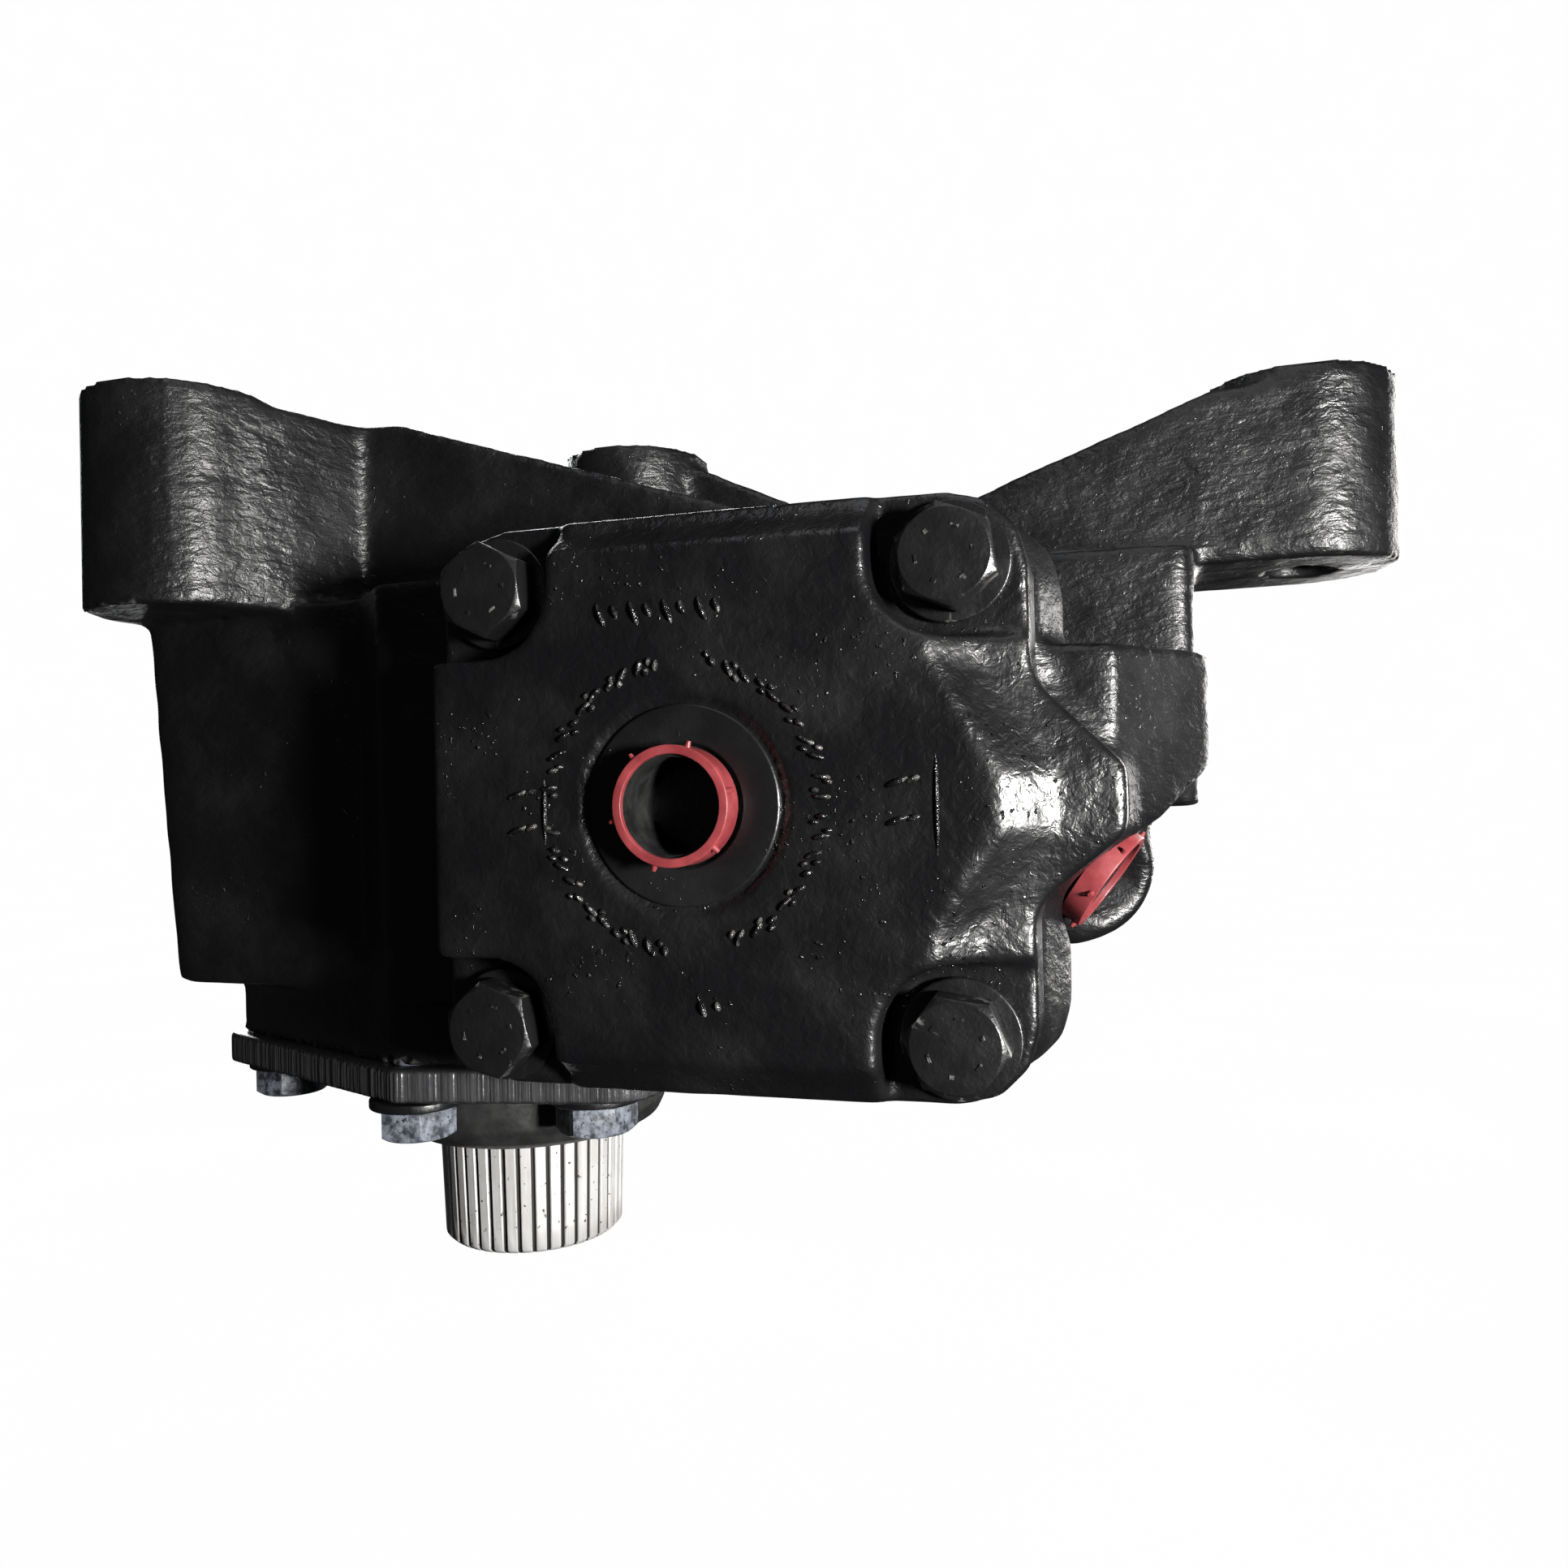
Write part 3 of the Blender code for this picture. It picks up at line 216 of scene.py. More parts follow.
def painted_casting(name, relief, grain, stretch, roughness, pimples):
    """Gloss black paint over a casting: ripples, glinting pimples, dusty blotches, pale specks that are
    partly dusty and partly painted glints of light, and paint worn off edges.
    """
    made, shader = new_material(name, (0.005, 0.005, 0.0055), roughness)
    space = object_space(made)
    drawn = object_space(made, stretch)
    ripple = noise_field(made, drawn, grain, 3.0, 0.6, 0.5)
    swell = noise_field(made, drawn, grain * 0.30, 2.0, 0.5, 0.4)
    grit = noise_field(made, space, grain * 3.3, 2.0, 0.6)
    coarse = bump(made, combine(made, "ADD", ripple, combine(made, "MULTIPLY", swell, 1.5)), relief)
    fine = bump(made, grit, relief * 0.14, under=coarse)
    spot = ramp(made, noise_field(made, space, 620.0, 1.0, 0.4), 0.68, 0.78)
    where = ramp(made, noise_field(made, space, 48.0, 2.0, 0.5), 0.50, 0.64)
    spot = combine(made, "MULTIPLY", spot, where)
    link(made, bump(made, spot, pimples, under=fine), shader.inputs["Normal"])
    blotch = noise_field(made, space, 46.0, 4.0, 0.6)
    varied = ramp(made, blotch, 0.3, 0.7, roughness - 0.05, roughness + 0.08)
    dirt = ramp(made, blotch, 0.45, 0.8)
    dusty = mix_colours(made, dirt, (0.0035, 0.0035, 0.004), (0.008, 0.0078, 0.008))
    # Pale specks in the colour: partly dusty, partly painted glints of light.
    dust_and_glint_specks = ramp(made, noise_field(made, space, 1900.0, 1.0, 0.4), 0.83, 0.86)
    specked = mix_colours(made, combine(made, "MULTIPLY", dust_and_glint_specks, where), dusty, (0.20, 0.20, 0.195))
    worn = edge_wear(made, noise_field(made, space, 190.0, 3.0, 0.6))
    tone = mix_colours(made, worn, specked, (0.13, 0.127, 0.12))
    link(made, tone, shader.inputs["Base Color"])
    dull = combine(made, "ADD", varied, combine(made, "MULTIPLY", worn, 0.12))
    link(made, dull, shader.inputs["Roughness"])
    shader.inputs["Specular IOR Level"].default_value = 0.5
    return made


def painted_steel(name):
    """Gloss black paint over forged and machined steel, as on the screws and washers."""
    made, shader = new_material(name, (0.006, 0.006, 0.0065), 0.3)
    space = object_space(made)
    skin = noise_field(made, space, 420.0, 3.0, 0.6)
    link(made, bump(made, skin, 0.00024), shader.inputs["Normal"])
    uneven = noise_field(made, space, 130.0, 3.0)
    link(made, ramp(made, uneven, 0.3, 0.7, 0.26, 0.42), shader.inputs["Roughness"])
    worn = edge_wear(made, noise_field(made, space, 260.0, 2.0, 0.6), 0.57, 0.63)
    tone = mix_colours(made, worn, (0.005, 0.005, 0.0055), (0.09, 0.087, 0.083))
    link(made, tone, shader.inputs["Base Color"])
    return made


def scuffed_and_sheen_steel(name):
    """The flange screws: black paint with a pale blue-grey tone that is a painted sheen of light,
    uneven in worn patches and speckled with dark pits.
    """
    made, shader = new_material(name, (0.10, 0.11, 0.13), 0.42)
    space = object_space(made)
    skin = noise_field(made, space, 520.0, 3.0, 0.6)
    link(made, bump(made, skin, 0.00020), shader.inputs["Normal"])
    # The pale blue-grey in these patches is a painted sheen of light on black paint, varied at random
    # like wear.
    rubbed_and_sheen = ramp(made, noise_field(made, space, 330.0, 3.0, 0.6), 0.40, 0.62)
    tone = mix_colours(made, rubbed_and_sheen, (0.025, 0.028, 0.034), (0.15, 0.165, 0.195))
    pits = ramp(made, noise_field(made, space, 900.0, 2.0, 0.5), 0.62, 0.68)
    link(made, mix_colours(made, pits, tone, (0.02, 0.02, 0.022)), shader.inputs["Base Color"])
    link(made, ramp(made, skin, 0.3, 0.7, 0.34, 0.52), shader.inputs["Roughness"])
    return made


def striated_steel(name):
    """Painted plate whose cut edges keep the upright lines of the cut, with those lines painted lighter
    as a painted sheen.
    """
    made, shader = new_material(name, (0.014, 0.014, 0.015), 0.34)
    lines = noise_field(made, object_space(made, (1, 1, 0.02)), 620.0, 2.0, 0.6)
    broad = noise_field(made, object_space(made, (1, 1, 0.05)), 210.0, 1.0)
    facing = add_node(made, "ShaderNodeNewGeometry")
    split = add_node(made, "ShaderNodeSeparateXYZ")
    link(made, facing.outputs["Normal"], split.inputs["Vector"])
    upright = ramp(made, combine(made, "ABSOLUTE", split.outputs["Z"], 0.0), 0.3, 0.7, 1.0, 0.0)
    height = combine(made, "MULTIPLY", combine(made, "ADD", lines, broad), upright)
    cut = bump(made, height, 0.0009)
    skin = noise_field(made, object_space(made), 380.0, 3.0, 0.6)
    link(made, bump(made, skin, 0.0002, under=cut), shader.inputs["Normal"])
    link(made, ramp(made, skin, 0.3, 0.7, 0.28, 0.44), shader.inputs["Roughness"])
    # The cut lines are painted lighter: a painted sheen of the light off the cut edge.
    sheen_lines = combine(made, "MULTIPLY", lines, upright)
    sheen_tint = mix_colours(made, sheen_lines, (0.012, 0.012, 0.013), (0.05, 0.05, 0.053))
    link(made, sheen_tint, shader.inputs["Base Color"])
    return made


def bare_steel(name, streaks=(1, 1, 0.04), painted_groove_shade=True, shine=0.55):
    """Machined steel with fine tool lines, a painted shade darkening its grooves, and pitted here and
    there.
    """
    made, shader = new_material(name, (0.62, 0.62, 0.63), 0.3, shine)
    space = object_space(made)
    lines = noise_field(made, object_space(made, streaks), 900.0, 2.0, 0.6)
    spots = ramp(made, noise_field(made, space, 620.0, 2.0, 0.6), 0.66, 0.71)
    stain = ramp(made, noise_field(made, space, 55.0, 3.0, 0.6), 0.40, 0.72)
    tone = mix_colours(made, lines, (0.62, 0.61, 0.60), (0.92, 0.92, 0.92))
    aged = mix_colours(made, combine(made, "MULTIPLY", stain, 0.35), tone, (0.33, 0.27, 0.21))
    finish = mix_colours(made, spots, aged, (0.10, 0.085, 0.07))
    if painted_groove_shade:
        # A painted shade: the grooves are coloured darker where less light reaches into them.
        groove = add_node(made, "ShaderNodeAttribute", attribute_name="groove")
        dark = ramp(made, groove.outputs["Fac"], 0.10, 0.6)
        finish = mix_colours(made, dark, finish, (0.022, 0.021, 0.021))
        rough = ramp(made, groove.outputs["Fac"], 0.0, 1.0, 0.36, 0.65)
        link(made, rough, shader.inputs["Roughness"])
    else:
        link(made, ramp(made, lines, 0.3, 0.7, 0.22, 0.38), shader.inputs["Roughness"])
    link(made, finish, shader.inputs["Base Color"])
    link(made, bump(made, lines, 0.00008), shader.inputs["Normal"])
    return made


def moulded(name, colour, roughness, grain=500.0, relief=0.00008):
    """Moulded plastic or rubber: an even colour with a faint skin and uneven gloss."""
    made, shader = new_material(name, colour, roughness)
    space = object_space(made)
    skin = noise_field(made, space, grain, 3.0, 0.55)
    link(made, bump(made, skin, relief), shader.inputs["Normal"])
    uneven = ramp(made, skin, 0.3, 0.7, roughness - 0.06, roughness + 0.08)
    link(made, uneven, shader.inputs["Roughness"])
    pale = tuple(min(1.0, channel * 1.5 + 0.01) for channel in colour)
    patch = ramp(made, noise_field(made, space, 150.0, 3.0, 0.6), 0.4, 0.75)
    link(made, mix_colours(made, patch, colour, pale), shader.inputs["Base Color"])
    return made


ARM_PAINT = painted_casting("rough_casting_paint", 0.00052, 400.0, (0.6, 0.6, 1.1), 0.38, 0.0003)
COVER_PAINT = painted_casting("smooth_casting_paint", 0.00040, 300.0, (1, 1, 1), 0.30, 0.0008)
PAD_PAINT = painted_casting("machined_pad_paint", 0.00008, 420.0, (1, 1, 1), 0.34, 0.0002)
MARK_PAINT = painted_casting("cast_mark_paint", 0.00060, 700.0, (1, 1, 1), 0.17, 0.0)
SCREW_PAINT = painted_steel("painted_screw_steel")
FLANGE_SCREW = scuffed_and_sheen_steel("rubbed_and_sheen_screw_paint")
PLATE_PAINT = striated_steel("cut_plate_paint")
SHAFT_STEEL = bare_steel("serrated_shaft_steel")
INNER_STEEL = bare_steel("machined_inner_steel", (1, 0.05, 1), painted_groove_shade=False, shine=0.9)
RING_STEEL = bare_steel("ground_ring_steel", (1, 1, 1), painted_groove_shade=False, shine=0.9)
RUBBER = moulded("black_rubber_skin", (0.010, 0.010, 0.010), 0.42)
RED = moulded("red_plug_plastic", (0.145, 0.019, 0.022), 0.42)
THREAD_BLACK = moulded("black_thread", (0.006, 0.006, 0.006), 0.22)
GASKET = moulded("gasket_fibre", (0.05, 0.05, 0.05), 0.7, 900.0, 0.0001)


# ---------------------------------------------------------------- mesh helpers


def evaluated_mesh(obj):
    bpy.context.view_layer.update()
    graph = bpy.context.evaluated_depsgraph_get()
    return bpy.data.meshes.new_from_object(obj.evaluated_get(graph))


def add_piece(name, mesh, material, body="case", replaced=()):
    """Puts a finished mesh in the scene on its body, in place of the CAD nodes it stands for."""
    obj = bpy.data.objects.new(name, mesh)
    SCENE.collection.objects.link(obj)
    mesh.materials.clear()
    mesh.materials.append(material)
    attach(obj, body)
    if replaced:
        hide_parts(*replaced)
    return obj


def apply_modifiers(obj):
    mesh = evaluated_mesh(obj)
    bpy.data.objects.remove(obj, do_unlink=True)
    return mesh


def points_of(mesh):
    co = np.empty(len(mesh.vertices) * 3, np.float32)
    mesh.vertices.foreach_get("co", co)
    return co.reshape(-1, 3).astype(float)


def set_points(mesh, points):
    mesh.vertices.foreach_set("co", points.astype(np.float32).ravel())
    mesh.update()


def local(points):
    """Points of the shared frame in the gear's own frame."""
    return points - np.array(ORIGIN)


def near_axis(points, x, y, radius, low, high):
    """Which points lie within radius of an upright axis, between two heights."""
    reach = np.hypot(points[:, 0] - x, points[:, 1] - y)
    return (reach < radius) & (points[:, 2] > low) & (points[:, 2] < high)


def near_bore(points, radius, low, high, x=0.0, z=0.0):
    """Which points lie within radius of an axis along Y, between two stations."""
    reach = np.hypot(points[:, 0] - x, points[:, 2] - z)
    return (reach < radius) & (points[:, 1] > low) & (points[:, 1] < high)


def work_object(name, mesh):
    """An object to hang modifiers on, until apply_modifiers takes it away."""
    work = bpy.data.objects.new(name, mesh)
    SCENE.collection.objects.link(work)
    return work


def remeshed(node, voxel):
    work = work_object(node + "_work", NODES[node].data.copy())
    remesh = work.modifiers.new("remesh", "REMESH")
    remesh.mode = "VOXEL"
    remesh.voxel_size = voxel
    remesh.use_smooth_shade = True
    return apply_modifiers(work)


def softened(node, mesh, true, passes):
    """Smooths what is cast, and lays what is machined back on the CAD node's faces."""
    work = work_object(node + "_work", mesh)
    soft = work.vertex_groups.new(name="cast")
    soft.add(np.flatnonzero(~true).tolist(), 1.0, "REPLACE")
    exact = work.vertex_groups.new(name="machined")
    exact.add(np.flatnonzero(true).tolist(), 1.0, "REPLACE")
    smooth = work.modifiers.new("soften", "SMOOTH")
    smooth.factor = 0.5
    smooth.iterations = passes
    smooth.vertex_group = "cast"
    wrap = work.modifiers.new("true_faces", "SHRINKWRAP")
    wrap.target = NODES[node]
    wrap.wrap_method = "NEAREST_SURFACEPOINT"
    wrap.vertex_group = "machined"
    return apply_modifiers(work)


def cast_copy(node, voxel, passes, machined, relief, relief_size):
    """A CAD casting with soft edges and fillets: machined(points) says which points stay true."""
    mesh = remeshed(node, voxel)
    true = machined(local(points_of(mesh)))
    mesh = softened(node, mesh, true, passes)
    points = points_of(mesh)
    if relief:
        normals = np.empty(len(mesh.vertices) * 3, np.float32)
        mesh.vertices.foreach_get("normal", normals)
        swell = np.array([noise.noise(Vector(p) / relief_size) for p in points])
        points += normals.reshape(-1, 3) * (swell * relief * ~true)[:, None]
    low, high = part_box(node)
    points = np.clip(points, np.array(low) + INSET, np.array(high) - INSET)
    set_points(mesh, points)
    mesh.shade_smooth()
    return mesh


def turned_mesh(profile, steps=96, closed=True):
    """A turned solid about local Z: radius-height pairs down the outer side and back up the bore."""
    shape = bmesh.new()
    rings = []
    for step in range(steps):
        angle = 2 * math.pi * step / steps
        rings.append([
            shape.verts.new((radius * math.cos(angle), radius * math.sin(angle), height))
            for radius, height in profile
        ])
    count = len(profile)
    spans = count if closed else count - 1
    for step in range(steps):
        here = rings[step]
        there = rings[(step + 1) % steps]
        for index in range(spans):
            following = (index + 1) % count
            shape.faces.new((here[index], here[following], there[following], there[index]))
    bmesh.ops.remove_doubles(shape, verts=shape.verts, dist=1e-7)
    bmesh.ops.recalc_face_normals(shape, faces=shape.faces)
    mesh = bpy.data.meshes.new("turned")
    shape.to_mesh(mesh)
    shape.free()
    mesh.shade_smooth()
    mesh.set_sharp_from_angle(angle=math.radians(40))
    return mesh


def rounded_profile(corners, radius=0.0004, steps=3):
    """The corners of a closed profile, each replaced by a small arc."""
    out = []
    count = len(corners)
    for index, corner in enumerate(corners):
        here = Vector(corner)
        before = Vector(corners[index - 1]) - here
        after = Vector(corners[(index + 1) % count]) - here
        reach = min(radius, before.length * 0.45, after.length * 0.45)
        start = here + before.normalized() * reach
        end = here + after.normalized() * reach
        for step in range(steps + 1):
            share = step / steps
            point = start.lerp(here, share).lerp(here.lerp(end, share), share)
            out.append((max(0.0, point.x), point.y))
    return out


def bar(shape, centre, size, turn):
    """Adds a raised bar to a bmesh: size is its length, width and height."""
    made = bmesh.ops.create_cube(shape, size=1.0)["verts"]
    bmesh.ops.scale(shape, vec=size, verts=made)
    top = [vert for vert in made if vert.co.z > 0]
    bmesh.ops.scale(shape, vec=(0.72, 0.6, 1.0), verts=top)
    bmesh.ops.rotate(shape, cent=(0, 0, 0), matrix=Matrix.Rotation(turn, 3, "Z"), verts=made)
    bmesh.ops.translate(shape, vec=centre, verts=made)


FACE_FRONT = Matrix.Rotation(math.pi / 2, 4, "X")
FACE_BACK = Matrix.Rotation(-math.pi / 2, 4, "X")
FACE_DOWN = Matrix.Rotation(math.pi, 4, "X")


# ---------------------------------------------------------------- castings


BOSSES = [(-0.1900, 0.0515), (-0.0814, 0.1610), (0.1505, 0.1566)]
BOSS_HOLE_R = 0.0105


def housing_machined(p):
    """The mounting plane, all holes and bores, the joint faces and the flange's seat."""
    true = p[:, 2] > TOP_Z - 0.0009
    for x, y in BOSSES:
        true |= near_axis(p, x, y, BOSS_HOLE_R + 0.0012, 0.0, 1.0)
    true |= near_bore(p, BORE_R + 0.0013, 0.0, 1.0)
    about_the_shaft = (
        (0.0447, -0.1000, 0.0),
        (0.0694, -0.0270, 0.0270),
        (0.0362, 0.0, 0.0595),
        (0.0162, 0.0500, 0.0715),
    )
    for radius, low, high in about_the_shaft:
        true |= near_axis(p, SHAFT_X, SHAFT_Y, radius, low, high)
    true |= p[:, 1] < HEAD_THICKNESS + 0.0020
    true |= p[:, 1] > BARREL_END_Y - 0.0010
    true |= p[:, 2] < PLATE_BOTTOM_Z + 0.0115
    return true


def head_machined(p):
    """The back face, the recess over the bore, and the port."""
    true = p[:, 1] > HEAD_THICKNESS - 0.0010
    true |= near_bore(p, BORE_R + 0.0010, 0.0110, 1.0)
    true |= near_bore(p, 0.0150, -1.0, 1.0, PORT_X)
    return true


def plate_machined(p):
    """The hub's bore."""
    true = p[:, 2] > PLATE_HIGH.z - ORIGIN.z - 0.0500
    true &= near_axis(p, SHAFT_X, SHAFT_Y, 0.0395, -1.0, 1.0)
    return true


def cap_machined(p):
    """The joint face and the bore."""
    true = p[:, 1] < BARREL_END_Y + 0.0012
    true |= near_bore(p, 0.0255, 0.0, 1.0)
    return true


def sink_ring(mesh, radius, half_width, depth):
    """Presses a shallow ring into the cover's face around the port."""
    points = points_of(mesh)
    own = local(points)
    reach = np.hypot(own[:, 0] - PORT_X, own[:, 2])
    near = np.clip(1.0 - np.abs(reach - radius) / half_width, 0.0, 1.0)
    front = own[:, 1] < 0.0040
    points[:, 1] += depth * np.minimum(1.0, near * 2.0) * front
    set_points(mesh, points)


def port_face():
    """The spot-faced pad round the port with its chamfer and bore, turned true."""
    outer = SPOT_FACE_R
    profile = [
        (outer - 0.0002, 0.0030),
        (outer, 0.0007),
        (outer - 0.0005, 0.0003),
        (0.0152, 0.0003),
        (0.0147, 0.0006),
        (0.0130, 0.0034),
        (0.0127, 0.0040),
        (0.0127, 0.0120),
        (0.0150, 0.0120),
    ]
    mesh = turned_mesh(rounded_profile(profile, 0.0002, 2), 128)
    mesh.transform(Matrix.Translation(at(PORT_X, 0, 0)) @ FACE_BACK)
    add_piece("cylinder_head_port_face", mesh, PAD_PAINT, "case")


def castings():
    mesh = cast_copy("housing", 0.00195, 8, housing_machined, 0.00035, 0.011)
    add_piece("housing_casting", mesh, ARM_PAINT, "case", ["housing"])
    mesh = cast_copy("cylinder_head", 0.0011, 16, head_machined, 0.00012, 0.009)
    sink_ring(mesh, 0.0243, 0.0014, 0.0011)
    add_piece("cylinder_head_casting", mesh, COVER_PAINT, "case", ["cylinder_head"])
    mesh = cast_copy("output_flange", 0.0012, 2, plate_machined, 0.0, 0.010)
    add_piece("output_flange_plate", mesh, PLATE_PAINT, "case", ["output_flange"])
    mesh = cast_copy("bearing_cap", 0.0013, 6, cap_machined, 0.0002, 0.010)
    add_piece("bearing_cap_casting", mesh, ARM_PAINT, "case", ["bearing_cap"])


# ---------------------------------------------------------------- fasteners


def hexagon_prism():
    shape = bmesh.new()
    bmesh.ops.create_cone(
        shape,
        cap_ends=True,
        segments=6,
        radius1=HEX_R,
        radius2=HEX_R,
        depth=HEX_HEIGHT - WASHER_FACE,
    )
    bmesh.ops.translate(shape, vec=(0, 0, (HEX_HEIGHT + WASHER_FACE) / 2), verts=shape.verts)
    prism = bpy.data.meshes.new("hexagon")
    shape.to_mesh(prism)
    shape.free()
    return prism


def hexagon_head():
    """A hexagon cropped by a cone for its chamfer, with its edges eased."""
    work = work_object("hexagon_work", hexagon_prism())
    cone = [
        (0.0, HEX_HEIGHT),
        (HEX_FLAT_R * 0.97, HEX_HEIGHT),
        (HEX_R * 1.02, HEX_HEIGHT - HEX_CHAMFER),
        (HEX_R * 1.02, -0.002),
        (0.0, -0.002),
    ]
    cutter = work_object("chamfer_work", turned_mesh(cone, 96))
    crop = work.modifiers.new("chamfer", "BOOLEAN")
    crop.operation = "INTERSECT"
    crop.object = cutter
    crop.solver = "EXACT"
    soften = work.modifiers.new("soften", "BEVEL")
    soften.width = 0.00035
    soften.segments = 2
    soften.limit_method = "ANGLE"
    soften.angle_limit = math.radians(28)
    mesh = apply_modifiers(work)
    bpy.data.objects.remove(cutter, do_unlink=True)
    return mesh


def screw_mesh(length):
    """A hexagon screw seated at Z = 0: washer face, chamfered hexagon, marks on top, shank below."""
    shape = bmesh.new()
    shape.from_mesh(hexagon_head())
    shank = [
        (0.0, 0.002),
        (HEX_FLAT_R * 0.96, 0.002),
        (HEX_FLAT_R * 0.96, 0.0),
        (SCREW_R, -0.0002),
        (SCREW_R, -length + 0.001),
        (SCREW_R - 0.001, -length),
        (0.0, -length),
    ]
    shape.from_mesh(turned_mesh(shank, 48))
    for index in range(6):
        angle = 2 * math.pi * index / 6
        spot = Vector((HEX_MARK_R * math.cos(angle), HEX_MARK_R * math.sin(angle), HEX_HEIGHT))
        size = (0.0024, 0.0009, 0.0005) if index % 2 else (0.0013, 0.0013, 0.0005)
        bar(shape, spot, size, angle + math.pi / 2)
    mesh = bpy.data.meshes.new("screw")
    shape.to_mesh(mesh)
    shape.free()
    mesh.shade_smooth()
    mesh.set_sharp_from_angle(angle=math.radians(32))
    return mesh


def washer_mesh():
    """A flat washer on Z = 0 with rounded edges."""
    corners = [
        (WASHER_R, WASHER_THICKNESS),
        (WASHER_R, 0.0),
        (SCREW_R + 0.0003, 0.0),
        (SCREW_R + 0.0003, WASHER_THICKNESS),
    ]
    return turned_mesh(rounded_profile(corners, 0.0005))


def seat_of(node, facing):
    """The middle of a fastener's seat side: the face that it rests on."""
    low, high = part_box(node)
    middle = (low + high) / 2
    if facing is FACE_FRONT:
        return Vector((middle.x, high.y, middle.z))
    if facing is FACE_BACK:
        return Vector((middle.x, low.y, middle.z))
    return Vector((middle.x, middle.y, high.z))


def fasteners():
    """Every screw and washer, in the place of its CAD node."""
    kinds = (
        ("head", FACE_FRONT, 0.043, (12, 4, 22, 8), SCREW_PAINT),
        ("flange", FACE_DOWN, 0.028, (26, 9, 40, 15, 33, 4), FLANGE_SCREW),
        ("cap", FACE_BACK, 0.038, (5, 30, 18, 44), SCREW_PAINT),
    )
    for kind, facing, length, turns, paint in kinds:
        screw = screw_mesh(length)
        washer = washer_mesh()
        gap = 0.0003
        for number, turn in enumerate(turns, start=1):
            node = f"{kind}_washer_{number}"
            seat = seat_of(node, facing)
            disc = washer.copy()
            disc.transform(Matrix.Translation(seat) @ facing)
            add_piece(node + "_disc", disc, SCREW_PAINT, "case", [node])
            outward = facing @ Vector((0, 0, WASHER_THICKNESS + gap, 1))
            spun = Matrix.Rotation(math.radians(turn), 4, "Z")
            place = Matrix.Translation(seat + outward.xyz) @ facing @ spun
            copy = screw.copy()
            copy.transform(place)
            node = f"{kind}_bolt_{number}"
            add_piece(node + "_hexagon", copy, paint, "case", [node])


# ---------------------------------------------------------------- plugs, boot and shaft


def plug_meshes(rim):
    """The red collar with its six nibs, and the dark threaded cup inside it, about local Z."""
    outer = COLLAR_R
    inner = COLLAR_BORE_R
    section = [(inner, rim), (inner, -0.0005), (outer, 0.0), (outer, rim)]
    collar = turned_mesh(rounded_profile(section, 0.0003), 96)
    shape = bmesh.new()
    shape.from_mesh(collar)
    for angle in (43, 107, 167, 231, 288, 347):
        turn = math.radians(angle)
        reach = outer + 0.0002
        spot = Vector((reach * math.cos(turn), reach * math.sin(turn), rim + 0.0012))
        outward = Matrix.Rotation(turn, 4, "Z") @ Matrix.Rotation(math.pi / 2, 4, "Y")
        nib = bmesh.ops.create_cone(
            shape,
            cap_ends=True,
            segments=12,
            radius1=0.0011,
            radius2=0.0005,
            depth=0.0024,
        )
        bmesh.ops.transform(shape, matrix=Matrix.Translation(spot) @ outward, verts=nib["verts"])
    red = bpy.data.meshes.new("plug_collar")
    shape.to_mesh(red)
    shape.free()
    red.shade_smooth()
    red.set_sharp_from_angle(angle=math.radians(40))
    ridge = 0.0004
    cup = [(0.0, CUP_FLOOR), (inner - 0.0009, CUP_FLOOR)]
    for index in range(9, -1, -1):
        station = rim + 0.0018 + index * (0.0076 - rim) / 10
        cup.append((inner - 0.0003, station + 0.0006))
        cup.append((inner - 0.0003 - ridge, station))
    body = [(inner + 0.0003, rim + 0.0014), (inner + 0.0003, CUP_END), (0.0, CUP_END)]
    black = turned_mesh(cup + body, 96, closed=False)
    return red, black


def plugs():
    axis = Vector((0.80, -0.12, -0.59)).normalized()
    side_turn = (-axis).to_track_quat("Z", "Y").to_matrix().to_4x4()
    side_place = Matrix.Translation(at(0.0890, 0.0575, -0.0212) - axis * 0.0040) @ side_turn
    return_low, return_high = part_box("return_port_plug")
    return_middle = (return_low + return_high) / 2
    return_seat = (return_high.x - COLLAR_HEIGHT, return_middle.y, return_middle.z)
    return_place = Matrix.Translation(return_seat)
    return_place = return_place @ Matrix.Rotation(-math.pi / 2, 4, "Y")
    head_place = Matrix.Translation(at(PORT_X, 0, 0)) @ FACE_BACK
    for node, place, rim in (
        ("head_port_plug", head_place, -COLLAR_HEIGHT),
        ("side_port_plug", side_place, -SIDE_COLLAR_HEIGHT),
        ("return_port_plug", return_place, -COLLAR_HEIGHT),
    ):
        red, black = plug_meshes(rim)
        red.transform(place)
        black.transform(place)
        add_piece(node + "_collar", red, RED, "case", [node])
        add_piece(node + "_cup", black, THREAD_BLACK, "case")


def dust_boot():
    """The rubber boot under the flange, with a rounded skirt and a lip that wipes the shaft."""
    high = -0.0845
    low = BOOT_LOW.z - ORIGIN.z + 0.0001
    skirt = (BOOT_HIGH.x - BOOT_LOW.x) / 2 - 0.0002
    corners = [
        (skirt - 0.0016, high),
        (skirt - 0.0016, -0.0884),
        (skirt, -0.0900),
        (skirt, low + 0.0066),
        (skirt - 0.0022, low + 0.0022),
        (skirt - 0.0060, low),
        (SHAFT_TOP_R + 0.0006, low),
        (SHAFT_TOP_R + 0.0006, low + 0.0042),
        (skirt - 0.0062, low + 0.0072),
        (skirt - 0.0062, high),
    ]
    mesh = turned_mesh(rounded_profile(corners, 0.0011, 4), 128)
    mesh.transform(Matrix.Translation(at(SHAFT_X, SHAFT_Y, 0)))
    add_piece("output_dust_boot_skirt", mesh, RUBBER, "case", ["output_dust_boot"])


TEETH = 40
SERRATION_DEPTH = 0.0013
TOOTH_SHAPE = (
    (0.0, 1.0),
    (0.09, 0.95),
    (0.16, 0.12),
    (0.21, 0.0),
    (0.79, 0.0),
    (0.84, 0.12),
    (0.91, 0.95),
)


